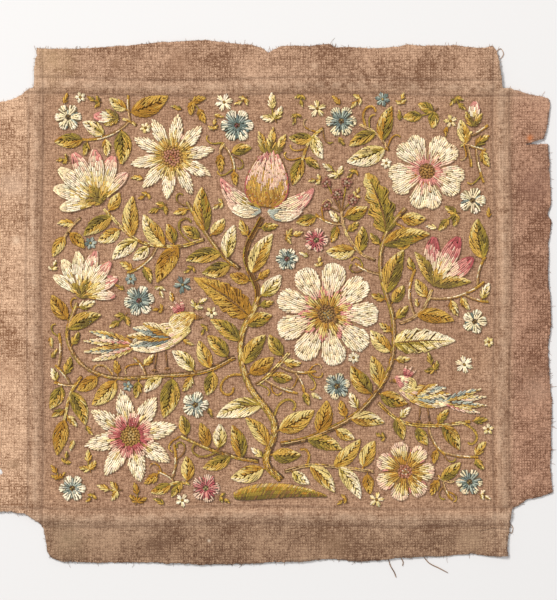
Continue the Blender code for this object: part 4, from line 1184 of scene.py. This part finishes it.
def grow_leaves(basket, ground, stems):
    """Tries leaves of each size along every stem, at its tip and on both sides, at several angles."""
    number = 0
    for length, width in LEAF_SIZES:
        u, across = np.meshgrid(np.linspace(0.12, 1.04, 7), [-1.06, -0.5, 0, 0.5, 1.06])
        for stem in stems:
            path = smooth_path(stem.points, 12)
            runs = np.append(np.arange(3, run_of(path)[-1], 2.5), run_of(path)[-1])
            spots, headings = on_path(path, runs, 0)
            for pick in basket.rng.permutation(len(runs)):
                side = basket.rng.choice([-1, 1])
                leans = (0.0,) if pick == len(runs) - 1 else (0.9, 1.3, 0.6, -0.9, -1.3)
                for lean in leans:
                    aim = headings[pick] + side * lean
                    start = spots[pick] + toward(aim) * (stem.root_width / 2 + 1.6)
                    blade = Blade(start, aim, length, width, -0.35 * side * np.sign(lean), "lance")
                    if not ground.free(on_blade(blade, u.ravel(), across.ravel())):
                        continue
                    before = len(basket.stitches)
                    fishbone(basket, blade, *LEAF_SKEINS[number % len(LEAF_SKEINS)])
                    for rows in basket.stitches[before:]:
                        ground.mark(rows[:, 0:2], rows[:, 2:4])
                    stalk = np.linspace(spots[pick], on_blade(blade, np.array([0.15]), np.array([0.0]))[0], 6)
                    stem_row(basket, stalk, ("mustard", "olive"), width=1.5)
                    number += 1
                    break
    return number


def grow_curls(basket, ground, stems, count=30):
    """Tries tendrils that start on a stem and wind up, until enough have found free ground."""
    number = 0
    for attempt in range(5000):
        stem = stems[attempt % len(stems)]
        path = smooth_path(stem.points, 12)
        spot, heading = on_path(path, basket.rng.random() * run_of(path)[-1], 0)
        side = basket.rng.choice([-1, 1])
        length = 18 + 16 * basket.rng.random()
        curl = curl_path(spot, heading + side * 1.0, length, side * -1.5, side * basket.rng.choice([-22, 20]))
        beyond = np.arange(40) > 40 * (stem.root_width / 2 + 4.2) / length
        if not ground.free(curl[beyond]):
            continue
        stem_row(basket, curl, TENDRIL_SKEINS[number % len(TENDRIL_SKEINS)], step=2.4, stitch=3.8, width=1.5)
        ground.mark(curl[:-1], curl[1:])
        number += 1
        if number == count:
            break
    return number


leaves = Basket("filling_leaves")
twigs = grow_twigs(leaves, ground)
print("twigs", len(twigs))
print("curls", grow_curls(leaves, ground, STEMS + twigs, 16))
print("more leaves", grow_leaves(leaves, ground, STEMS + twigs))
print("more curls", grow_curls(leaves, ground, STEMS + twigs, 14))
baskets["filling_leaves"] = leaves
print("worked share of the field", round(float(ground.taken.mean()), 2))

# %% [markdown]
# What is left over is filled from the middle outwards: from many chance places in the free ground, the one
# farthest from any stitch gets its sprig first, as large as its circle allows.

# %% Gaps in the ground
def gap_places(ground, count=3000, least=4.3):
    """Places and their free radius, largest first, none closer to an earlier one than their radii allow."""
    rng = np.random.default_rng(11)
    spots = FIELD[0] + rng.random((count, 2)) * (FIELD[1] - FIELD[0])
    taken = np.argwhere(ground.taken) + FIELD[0]
    taken = taken[(taken.sum(axis=1) % 2) == 0]
    room = np.array([np.sqrt(((taken - spot) ** 2).sum(axis=1).min()) for spot in spots])
    room = np.minimum(room, np.minimum(spots - FIELD[0], FIELD[1] - spots).min(axis=1) + 3)
    chosen = []
    for i in np.argsort(-room):
        if room[i] < least:
            break
        if all(np.hypot(*(spots[i] - spot)) > 0.92 * (size + room[i]) for spot, size in chosen):
            chosen.append((spots[i], room[i]))
    return chosen


gaps = gap_places(ground)
print(len(gaps), "gaps, the largest", round(float(gaps[0][1]), 1), "mm in radius")

# %% Small sprigs and blooms in the gaps
def small_sprig(basket, spot, room, heading, pairs):
    """A curved stalk with plump leaves: one at its tip and a pair at its side, inside a circle."""
    start = spot - room * 0.98 * toward(heading)
    stalk, turns = arc_point(start, heading, 1.05 * room, 0.7 * basket.rng.choice([-1, 1]),
                             np.linspace(0, 1, 16))
    stem_row(basket, stalk, ("brown", "olive"), width=1.35)
    size = room * 1.02
    for place in (6, 15):
        for side in ((0,) if place == 15 else (-1, 1)):
            blade = Blade(stalk[place], turns[place] + side * 1.0, size * (0.85 if side else 0.95),
                          max(size * 0.52, 3.6), -0.4 * side, "lance")
            fishbone(basket, blade, *pairs, slant=26, dome=0.45)


def small_bloom(basket, spot, room, skeins, heart):
    """Five or six petals, each of three loops of yarn side by side, round a knot."""
    count = int(basket.rng.integers(5, 7))
    turn = np.arange(count) / count * 2 * pi + basket.rng.random() * pi
    for lean in (-0.24, 0, 0.24):
        way = toward(turn + lean)
        basket.sew(spot + way * 1.2, spot + way * (room + 0.6) * (1 - 0.6 * abs(lean)), 0.7, 0.5,
                   shaded(basket, skeins, 0 * turn + 0.5, 0.3), width=1.7)
    basket.knot(spot, 1.0, 1.35, WOOL[heart])


BLOOM_SKEINS = [(("ivory", "cream"), "gold"), (("slate", "blue"), "straw"), (("cream", "straw"), "mustard")]
filling = Basket("filling_sprigs")
for number, (spot, room) in enumerate(gaps):
    heading = filling.rng.random() * 2 * pi
    if room > 5.6 and number % 6:
        small_sprig(filling, spot, room, heading, LEAF_SKEINS[number % len(LEAF_SKEINS)])
    elif number % 3 == 0:
        small_bloom(filling, spot, min(room, 8.5), *BLOOM_SKEINS[number // 3 % len(BLOOM_SKEINS)])
    else:
        blade = Blade(spot - room * toward(heading), heading, 2.1 * room, 0.95 * room,
                      0.4, "lance")
        fishbone(filling, blade, *LEAF_SKEINS[number % len(LEAF_SKEINS)], dome=0.45)
baskets["filling_sprigs"] = filling
print("filling", sum(map(len, filling.stitches)), "stitches", sum(map(len, filling.knots)), "knots")

# %% [markdown]
# Wool and linen are dull fibres that shine only a little at a grazing angle. Their fine structure is too
# small for geometry: the twist of the two plies, and the weave. It goes into the shaders as a bump, and the
# wool's twist also as painted shade in its colour. A small class gives a shader socket the usual operators,
# so that a formula can be read as one.

# %% Shader arithmetic
def feed(socket, value):
    """Links a value into a socket, or sets a constant on it."""
    if isinstance(value, Value):
        socket.id_data.links.new(value.socket, socket)
    else:
        socket.default_value = value


class Value:
    """A number that a shader works out at each point, from the output socket of a node."""

    def __init__(self, socket):
        self.socket = socket

    def maths(self, operation, *values):
        node = self.socket.id_data.nodes.new("ShaderNodeMath")
        node.operation = operation
        for socket, value in zip(node.inputs, values):
            feed(socket, value)
        return Value(node.outputs[0])

    def __add__(self, other):
        return self.maths("ADD", self, other)

    def __sub__(self, other):
        return self.maths("SUBTRACT", self, other)

    def __mul__(self, other):
        return self.maths("MULTIPLY", self, other)

    def __truediv__(self, other):
        return self.maths("DIVIDE", self, other)

    def __rsub__(self, other):
        return self.maths("SUBTRACT", other, self)

    def __neg__(self):
        return self * -1.0

    def __abs__(self):
        return self.maths("ABSOLUTE", self)

    __radd__, __rmul__ = __add__, __mul__

    def sine(self):
        return self.maths("SINE", self)

    def root(self):
        return self.maths("SQRT", self)

    def bell(self, width):
        """exp(-(self / width) squared): 1 where self is 0, and near 0 beyond two widths."""
        share = self / width
        return self.maths("EXPONENT", -(share * share))

    def step(self, low, high):
        """0 below low, 1 above high, and straight in between."""
        share = (self - low) / (high - low)
        return share.maths("MINIMUM", share.maths("MAXIMUM", share, 0.0), 1.0)


class Look:
    """A material under construction, round its Principled shader."""

    def __init__(self, name, **constants):
        self.made = bpy.data.materials.new(name)
        self.made.use_nodes = True
        self.tree = self.made.node_tree
        self.shader = self.tree.nodes["Principled BSDF"]
        for key, value in constants.items():
            self.shader.inputs[key.replace("_", " ")].default_value = value

    def node(self, kind, settings, sockets, output=0):
        """Any other node, from its type, its settings and its sockets."""
        made = self.tree.nodes.new(kind)
        for key, value in settings.items():
            setattr(made, key, value)
        for key, value in sockets.items():
            feed(made.inputs[key], value)
        return Value(made.outputs[output])

    def axis(self, vector, index):
        return self.node("ShaderNodeSeparateXYZ", {}, {0: vector}, index)

    def mix(self, share, first, second):
        return self.node("ShaderNodeMix", {"data_type": "RGBA"}, {0: share, 6: first, 7: second}, 2)

    def scaled(self, vector, factors):
        return self.node("ShaderNodeVectorMath", {"operation": "MULTIPLY"}, {0: vector, 1: factors})

    def noise(self, vector, scale, detail=2.0):
        """Smooth noise from 0 to 1, in patches of about 1 / scale metres."""
        return self.node("ShaderNodeTexNoise", {}, {"Vector": vector, "Scale": scale, "Detail": detail})

    def finish(self, colour, height, distance, strength):
        """Joins colour and bump to the shader."""
        feed(self.shader.inputs["Base Color"], colour)
        bump = self.node("ShaderNodeBump", {}, {"Height": height, "Distance": distance,
                                                "Strength": strength})
        feed(self.shader.inputs["Normal"], bump)
        return self.made


def rgba(name_or_colour):
    colour = WOOL[name_or_colour] if isinstance(name_or_colour, str) else linear(name_or_colour)
    return (*[float(c) for c in colour], 1.0)


# %% Wool
TWIST_MM = 2.4


def wool_look(name, fade, shadow):
    """Two-ply wool: the dyed colour of each stitch, with painted shade on the flanks and under side of the yarn
    and along the turns of its twist, a little faded in places, and a twist that runs along the yarn as
    sin(2 pi (run / twist + turn))."""
    look = Look(name, Roughness=0.92, Sheen_Weight=0.06, Sheen_Roughness=0.6)
    uv = look.node("ShaderNodeUVMap", {"uv_map": "along_yarn"}, {})
    run, turn = look.axis(uv, 0), look.axis(uv, 1)
    twist = ((run / TWIST_MM + turn) * (2 * pi)).sine() * 0.5 + 0.5
    place = look.node("ShaderNodeTexCoord", {}, {}, "Object")
    fuzz = look.noise(place, 1900.0, 1.0)
    dust = look.noise(place, 26.0, 2.0)
    dye = look.node("ShaderNodeAttribute", {"attribute_name": "dye"}, {}, "Color")
    flank = 1.0 - (turn * (2 * pi)).sine()
    # painted shade: the flanks, the under side and the twist of each yarn are mixed towards the shadow colour
    flank_shade = look.mix((flank * flank * 0.55 + twist * 0.12 + (fuzz - 0.4) * 0.3).step(0.0, 1.0), dye,
                      rgba(shadow))
    faded = look.mix(dust.step(0.35, 0.75) * fade, flank_shade, rgba((214, 184, 140)))
    return look.finish(faded, twist + fuzz * 0.6, 0.0003, 0.6)


# each wool: how much it fades, and the colour of the painted shade on its flanks and under side
WOOL_LOOKS = {"cream_wool": (0.04, (150, 106, 58)), "pink_wool": (0.06, (132, 84, 54)),
              "blue_wool": (0.06, (60, 58, 46)), "leaf_wool": (0.0, (92, 58, 14))}
looks = {name: wool_look(name, *row) for name, row in WOOL_LOOKS.items()}
print(len(looks), "wools")


# %% [markdown]
# The linen is one cloth, yet it isn't one colour. Each flap has faded in its own way, and its tint also holds
# painted light: paler on the left, darker on the right and at the bottom. Each fold has a painted highlight on
# its ridge, where the cloth is also worn, and lines of painted shade beside it. The weave is a plain one:
# warp and weft pass over each other in turn, and single thick threads show as long slubs.

# %% Linen
WEAVE_MM = 1.25
LINEN = (159, 120, 91)
THREAD_SHADE = (0.42, 0.30, 0.20, 1.0)
THREAD_LIGHT = (1.58, 1.70, 1.80, 1.0)
SPOTS = [(-212, 240, 20.0, (190, 156, 116)), (-113, -226, 13.0, (106, 76, 54)), (-197, -222, 15.0, (152, 126, 96)),
         (-90, 236, 12.0, (138, 98, 70)), (254, 120, 18.0, (132, 92, 74)), (-250, 118, 12.0, (216, 182, 154)),
         (-254, -60, 10.0, (172, 130, 100)), (60, -226, 14.0, (124, 92, 64)), (190, -222, 12.0, (176, 144, 114)),
         (254, -80, 14.0, (172, 136, 112)),
         (247, 164, 2.6, (196, 108, 44)), (7, -216, 1.8, (96, 66, 44)), (-248, -150, 5.0, (150, 116, 86)),
         (-61, -222.5, 1.3, (232, 214, 190)), (-150, 236, 4.0, (150, 112, 84)), (96, -219, 3.2, (128, 96, 70)),
         (246, -60, 4.6, (142, 104, 78)), (40, 233, 3.0, (206, 170, 140)), (-246, 66, 3.8, (222, 190, 160))]


# across, where the flap begins, where its tint is full, and the tint: left, right, top, bottom. The tints are
# partly faded cloth and partly painted light: paler on the left, darker on the right and at the bottom.
FLAPS = [(False, -224.0, -236.0, (187, 148, 117)), (False, 226.0, 232.0, (154, 113, 89)),
         (True, 208.0, 219.0, (162, 125, 98)), (True, -194.0, -206.0, (136, 105, 80))]
PALE_BLOTCH, DARK_BLOTCH, FOLD_TINT = (176, 140, 114), (140, 102, 80), (162, 129, 103)
# painted highlight on the ridge of each fold, where the cloth is also worn, and painted shade in lines beside it
RIDGE_WEAR_AND_HIGHLIGHT, FOLD_PAINTED_SHADE = (222, 190, 160), (96, 66, 46)


def from_fold(x, y, crease):
    """Distance from a fold line, which wanders by the sine of fold_height."""
    run, off = (y, x) if crease.across else (x, y)
    return off - ((run / FOLD_WAVE + crease.at).sine() * crease.wander + crease.at)


def linen_look():
    """Linen: colour from blotches, flap tints that are partly painted light, and spots, times a tone from
    threads, slubs, stains and folds, with a painted highlight on each fold's ridge, where it is also worn,
    and painted shade beside it; height from the weave. x and y are in millimetres."""
    look = Look("linen", Roughness=0.95, Sheen_Weight=0.10, Sheen_Roughness=0.6)
    place = look.node("ShaderNodeTexCoord", {}, {}, "Object")
    x, y = look.axis(place, 0) * 1000.0, look.axis(place, 1) * 1000.0
    warp_slub = look.noise(look.scaled(place, (1.0, 0.3, 0.3)), 800.0, 0.0)
    weft_slub = look.noise(look.scaled(place, (0.3, 1.0, 0.3)), 800.0, 0.0)
    bars = (look.noise(look.scaled(place, (1.0, 0.04, 0.3)), 260.0, 2.0)
            + look.noise(look.scaled(place, (0.04, 1.0, 0.3)), 260.0, 2.0))
    grain = look.noise(place, 760.0, 0.0)
    blotch = look.noise(place, 17.0, 4.0)
    stain = look.noise(place, 30.0, 4.0)
    cloud = look.noise(place, 8.0, 1.0)
    fine = look.noise(place, 130.0, 4.0)
    warp = ((x + (warp_slub - 0.5) * 3.0) * (pi / WEAVE_MM)).sine()
    weft = ((y + (weft_slub - 0.5) * 3.0) * (pi / WEAVE_MM)).sine()
    over = warp * weft
    tone = (warp_slub + weft_slub - 1.0) * 0.6 + (bars - 1.0) * 0.3 + (fine - 0.5) * 0.35 + (grain - 0.5) * 0.7
    colour = look.mix(blotch.step(0.50, 0.72) * 0.40, rgba(LINEN), rgba(DARK_BLOTCH))
    colour = look.mix(blotch.step(0.46, 0.30) * 0.30, colour, rgba(PALE_BLOTCH))
    flaps = [(y if across else x).step(low, high) for across, low, high, _ in FLAPS]
    # flap tints: partly faded cloth, partly painted light falling off from the upper left
    for flap, (*_, tint) in zip(flaps, FLAPS):
        colour = look.mix(flap * 0.9, colour, rgba(tint))
    on_flap = (flaps[0] + flaps[1] + flaps[2] + flaps[3]).step(0.0, 1.0)
    tone = tone + (over * 0.3 + (warp + weft) * 0.16) * (on_flap * 0.4 + 0.6)
    tone = tone + (stain - 0.5) * (on_flap * 1.2 + 0.15) + (cloud - 0.5) * on_flap * 1.1 + 0.5
    for crease in CREASES:
        away = from_fold(x, y, crease)
        near = away.bell(crease.half_width * 1.7)
        along = (1.0, 0.02, 0.3) if crease.across else (0.02, 1.0, 0.3)
        tone = tone + (look.noise(look.scaled(place, along), 420.0, 2.0) - 0.5) * near * 0.8
        colour = look.mix(near * 0.45, colour, rgba(FOLD_TINT))
    colour = look.scaled(colour, look.mix(tone.step(0.0, 1.0), THREAD_SHADE, THREAD_LIGHT))
    for crease in CREASES:
        away = from_fold(x, y, crease)
        # painted highlight along each fold's ridge, where the cloth is also worn
        ridge_wear_and_highlight = away.bell(crease.half_width * 0.5) * ((fine - 0.5) * 0.9 + 0.12)
        colour = look.mix(ridge_wear_and_highlight.step(0.0, 1.0), colour, rgba(RIDGE_WEAR_AND_HIGHLIGHT))
        # painted shade in a line on both sides of each fold
        fold_painted_shade = (abs(away) - crease.half_width * 1.0).bell(1.25) * 0.42
        colour = look.mix(fold_painted_shade, colour, rgba(FOLD_PAINTED_SHADE))
    for at_x, at_y, size, tint in SPOTS:
        far = ((x - at_x) * (x - at_x) + (y - at_y) * (y - at_y)).root() + (stain + fine - 1.0) * size * 1.4
        colour = look.mix(far.bell(size) * (0.7 if size < 8 else 0.45), colour, rgba(tint))
    crumple = look.noise(look.scaled(place, (1.0, 0.6, 1.0)), 38.0, 3.0)
    return look.finish(colour, over * 0.5 + (warp_slub + weft_slub) + crumple * 7.0, 0.0004, 0.6)


looks["linen"] = linen_look()
print("linen has", len(looks["linen"].node_tree.nodes), "nodes")

# %% [markdown]
# The cut edge was never hemmed. It follows single threads, so it steps and wanders by half a millimetre,
# and at one place on the right it is torn in. The sheet is a fine grid over the folds, thickened like the
# CAD's, and cut with a prism of that outline. The slit at the torn place runs deeper than in the CAD.

# %% The cloth
TOP_EDGE = [(-226, 250), (-208.5, 250), (-190, 249.5), (-165, 251), (-136, 253), (-102, 256.5),
            (-64, 258), (-45, 255.5), (-20, 253.5), (-9, 250), (-4, 246), (1, 249), (8, 252.5),
            (37, 252.5), (56, 254.5), (60, 251.5), (80, 251.5), (99.5, 250), (119, 251.5),
            (128, 253.5), (152, 252.5), (173, 253.5), (190.5, 251.5), (205, 250.5), (211.5, 252.5),
            (215.5, 247)]
TOP_RIGHT_CORNER = [(218, 237), (219.5, 224.5), (221, 212), (228, 212), (232.5, 210),
                    (248, 205.5), (265.5, 202.5)]
RIGHT_EDGE = [(266.5, 196), (264.5, 183.5), (263.5, 174), (261.5, 164), (256, 160.5), (264.5, 158.5),
              (265.5, 143), (266.5, 119), (267.5, 101), (264.5, 91), (267.5, 83.5), (265.5, 66),
              (264.5, 37.5), (266.5, 8.5), (267.5, -15.5), (264.5, -34.5), (266.5, -73),
              (268.5, -87.5), (267.5, -126), (268, -135.5), (266.5, -150), (269, -176)]
BOTTOM_RIGHT_CORNER = [(257.5, -180.5), (243.5, -183.5), (237.5, -188), (231, -191), (229, -195),
                       (228, -207.5), (226, -222), (225.5, -237)]
BOTTOM_EDGE = [(214.5, -238), (190.5, -235), (171, -237), (142.5, -238), (118.5, -239),
               (94.5, -242), (85, -243), (70.5, -241), (56, -240), (32, -242), (-1.5, -243),
               (-30, -245), (-64, -245.5), (-88, -244.5), (-117, -243.5), (-145.5, -243.5),
               (-174.5, -243.5), (-203, -242), (-213, -238), (-216.5, -232.5)]
BOTTOM_LEFT_CORNER = [(-217.5, -221), (-219.5, -211.5), (-224, -204), (-232, -200),
                      (-237.5, -196.5), (-251, -194.5), (-266, -194.5)]
LEFT_EDGE = [(-267, -164), (-258.5, -157.5), (-265.5, -147), (-266.5, -125.5), (-269, 8.5),
             (-266.5, 104.5), (-267.5, 197.5)]
TOP_LEFT_CORNER = [(-256, 199.5), (-247, 202.5), (-240.5, 206), (-236.5, 210), (-229, 213),
                   (-228.5, 231), (-226.5, 243)]
SIDES = [TOP_EDGE, TOP_RIGHT_CORNER, RIGHT_EDGE, BOTTOM_RIGHT_CORNER,
         BOTTOM_EDGE, BOTTOM_LEFT_CORNER, LEFT_EDGE, TOP_LEFT_CORNER]
outline = np.array([point for side in SIDES for point in side], float)
SLIT_CORNER, SLIT_END = [256, 160.5], [243, 157.5]
outline[(outline == SLIT_CORNER).all(axis=1)] = SLIT_END


def frayed_outline(corners, spacing=2.2, depth=0.42):
    """Points along the outline, each moved in or out by chance, smooth over a few threads."""
    closed = np.vstack([corners, corners[:1]])
    run = run_of(closed)
    at = np.arange(0, run[-1], spacing)
    points = np.column_stack([np.interp(at, run, closed[:, i]) for i in (0, 1)])
    chance = np.random.default_rng(5).normal(0, 1, (2, len(at)))
    slow = np.convolve(np.tile(chance[0], 3), np.ones(5) / 5, "same")[len(at):2 * len(at)]
    ahead = np.roll(points, -1, axis=0) - np.roll(points, 1, axis=0)
    inward = np.column_stack([ahead[:, 1], -ahead[:, 0]]) / np.hypot(*ahead.T)[:, None]
    return points + inward * (np.clip(slow * 1.1 + chance[1] * 0.45, -2, 2) * depth)[:, None], -inward


edge, outward = frayed_outline(outline)
GRID_MM = 3.6


def cloth_object():
    """The grid, one layer, then Solidify for thickness, then Boolean Intersect with the prism."""
    x, y = np.meshgrid(np.arange(-274, 276, GRID_MM), np.arange(-250, 264, GRID_MM))
    points = np.column_stack([x.ravel(), y.ravel(), fold_height(x, y).ravel()])
    rows, columns = x.shape
    corner = (np.arange(rows - 1)[:, None] * columns + np.arange(columns - 1)).ravel()
    faces = np.column_stack([corner, corner + 1, corner + columns + 1, corner + columns])
    cloth = mesh_object("linen_ground", points, faces)
    thick = cloth.modifiers.new("thickness", "SOLIDIFY")
    thick.thickness, thick.offset = CLOTH_THICKNESS * MM, 1
    prism = bpy.data.meshes.new("cut_edge")
    bm = bmesh.new()
    face = bm.faces.new([bm.verts.new((*(point * MM), -0.02)) for point in edge])
    made = bmesh.ops.extrude_face_region(bm, geom=[face], use_keep_orig=True)
    bmesh.ops.translate(bm, vec=(0, 0, 0.04),
                        verts=[item for item in made["geom"] if isinstance(item, bmesh.types.BMVert)])
    bmesh.ops.recalc_face_normals(bm, faces=bm.faces)
    bm.to_mesh(prism)
    bm.free()
    cutter = bpy.data.objects.new("cut_edge", prism)
    bpy.context.scene.collection.objects.link(cutter)
    cut = cloth.modifiers.new("cut_edge", "BOOLEAN")
    cut.operation, cut.solver, cut.object = "INTERSECT", "EXACT", cutter
    bpy.context.view_layer.update()
    graph = bpy.context.evaluated_depsgraph_get()
    finished = bpy.data.meshes.new_from_object(cloth.evaluated_get(graph))
    cloth.modifiers.clear()
    cloth.data = finished
    bpy.data.objects.remove(cutter, do_unlink=True)
    cloth.data.materials.clear()
    cloth.data.materials.append(looks["linen"])
    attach(cloth, "root")
    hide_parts("ground_cloth")
    return cloth


cloth = cloth_object()

# %% [markdown]
# Along a raw edge the crosswise threads have dropped out, and the ends of the lengthwise ones stand free.
# Each is a four-sided hair. A few are long, and those lie on the table in a curve.

# %% Ravelled thread ends
def hair_mesh(name, roots, ways, lengths, radius, curl, height):
    """Hairs of four rings: from a root, along a way in the plane, bent sideways by curl, down to the table."""
    share = np.array([0, 0.35, 0.7, 1.0])
    side = np.column_stack([-ways[:, 1], ways[:, 0]])
    middle = (roots[:, None] + ways[:, None] * (lengths[:, None] * share)[..., None]
              + side[:, None] * (curl[:, None] * lengths[:, None] * share**2)[..., None])
    thin = radius[:, None] * (1 - 0.45 * share)
    z = height[:, None] * (1 - share) ** 1.5 + thin + 0.06
    points = rings_round(middle, z, side[:, None], thin, thin).reshape(-1, 3)
    return mesh_object(name, points, tube_faces(len(roots), 4, 4))


def edge_hairs():
    """Thread ends all round the edge: mostly at right angles to it, in tufts of unequal length."""
    rng = np.random.default_rng(23)
    count = 1500
    pick = rng.random(count) * len(edge)
    low = pick.astype(int)
    part = (pick - low)[:, None]
    roots = edge[low] * (1 - part) + edge[(low + 1) % len(edge)] * part
    ways = outward[low] + rng.normal(0, 0.28, (count, 2))
    ways /= np.hypot(*ways.T)[:, None]
    tuft = 0.5 + 0.5 * np.sin(pick / 9.0) * np.sin(pick / 23.0 + 1)
    lengths = 0.5 + rng.exponential(0.75, count) * (0.5 + tuft) + (rng.random(count) < 0.02) * rng.random(count) * 6
    lengths = np.minimum(lengths, 9)
    height = fold_height(roots[:, 0], roots[:, 1]) + 0.2 + 0.8 * rng.random(count)
    hairs = hair_mesh("ravelled_edge", roots - ways * 0.5, ways, lengths + 0.5,
                      0.13 + 0.07 * rng.random(count), rng.normal(0, 0.25, count), height)
    hairs.data.materials.append(looks["linen"])
    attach(hairs, "root")
    return hairs


hairs = edge_hairs()
print("ravelled edge", len(hairs.data.polygons), "faces")

# %% Loose threads
LOOSE = [
    ("loose_thread_long", 0.5, [(111.5, -240.3), (113.5, -247), (117, -253), (118.8, -257.9)], 0.0),
    ("loose_thread_curved", 0.5, [(145.5, -238.6), (151, -244.5), (160, -249), (168.5, -253.5)], 0.0),
    ("loose_thread_short", 0.45, [(123.5, -239.3), (125.5, -243), (125, -247)], 0.0),
    ("pale_thread", 0.35, [(198, -213), (208, -211), (219, -210.5), (228, -212)], CLOTH_THICKNESS),
    ("thread_loop", 0.35, [(228.5, -206), (231, -210), (230, -215), (227, -214), (226.5, -209)], 0.1),
    ("corner_thread", 0.35, [(214, 246), (219, 250), (222, 245), (219, 240)], 0.2),
]


def loose_thread(name, radius, points, base):
    """A round thread along a path, four corners to a ring, on the table or on the cloth."""
    path = smooth_path(points, 10)
    slope = np.gradient(path, axis=0)
    left = np.column_stack([-slope[:, 1], slope[:, 0]]) / np.hypot(*slope.T)[:, None]
    ground = fold_height(path[:, 0], path[:, 1]) + base if base > 1 else np.full(len(path), base)
    taper = radius * (1 - 0.3 * np.linspace(-1, 1, len(path)) ** 4)
    points = rings_round(path, ground + radius + 0.05, left, taper, taper).reshape(-1, 3)
    made = mesh_object(f"{name}_ply", points, tube_faces(1, len(path), 4))
    made.data.materials.append(looks["linen"])
    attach(made, "root")
    if name.startswith("loose"):
        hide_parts(name)
    return float(run_of(path)[-1])


for row in LOOSE:
    print(row[0], round(loose_thread(*row), 1), "mm")

# %% [markdown]
# Now every basket becomes one object, named after its motif, in the wool that its kind of motif takes. The
# CAD node of the same name, where there is one, is hidden under it.

# %% Sew all motifs on
def slot_of(name):
    if name.startswith(("stem", "mound", "filling")):
        return "leaf_wool"
    if name.startswith("blossom"):
        return "blue_wool"
    return "cream_wool" if name.startswith(("flower", "fan")) else "pink_wool"


for name, basket in baskets.items():
    slot = slot_of(name)
    basket.name = f"{name}_stitches"
    sewn_object(basket, looks[slot], [] if name.startswith("filling") else [name])

# %% [markdown]
# The photo was taken from straight above, in soft light that comes a little more from the upper left. A
# long lens high up keeps the outline free of perspective, as in the photo.

# %% Table, light and camera
def area_light(name, place, size, power, colour):
    lamp = bpy.data.lights.new(name, "AREA")
    lamp.shape, lamp.size, lamp.energy, lamp.color = "DISK", size, power, colour
    made = bpy.data.objects.new(name, lamp)
    made.location = place
    made.rotation_euler = (-Vector(place)).to_track_quat("-Z", "Y").to_euler()
    bpy.context.scene.collection.objects.link(made)


table_mesh = bpy.data.meshes.new("table_top")
table_mesh.from_pydata([(-3, -3, 0), (3, -3, 0), (3, 3, 0), (-3, 3, 0)], [], [(0, 1, 2, 3)])
table = bpy.data.objects.new("table_top", table_mesh)
bpy.context.scene.collection.objects.link(table)
table_look = Look("table_top", Roughness=0.95)
table_look.shader.inputs["Base Color"].default_value = rgba((222, 220, 219))
table_mesh.materials.append(table_look.made)

area_light("window", (-3.0, 3.0, 3.6), 1.6, 300.0, (1.0, 0.99, 0.97))
area_light("fill", (2.5, -1.5, 4.0), 2.0, 54.0, (0.97, 0.98, 1.0))
world = bpy.data.worlds.new("studio")
world.use_nodes = True
world.node_tree.nodes["Background"].inputs["Color"].default_value = (1.0, 1.0, 1.0, 1.0)
world.node_tree.nodes["Background"].inputs["Strength"].default_value = 0.455
bpy.context.scene.world = world

camera_data = bpy.data.cameras.new("camera")
LENS_MM, SENSOR_MM, VIEW_WIDTH = 85, 36, 0.576
camera_data.lens = LENS_MM
camera = bpy.data.objects.new("camera", camera_data)
camera.location = (0.0058, 0.0086, VIEW_WIDTH * LENS_MM / SENSOR_MM + 0.0015)
bpy.context.scene.collection.objects.link(camera)
bpy.context.scene.camera = camera
bpy.context.scene.view_settings.view_transform = "Standard"
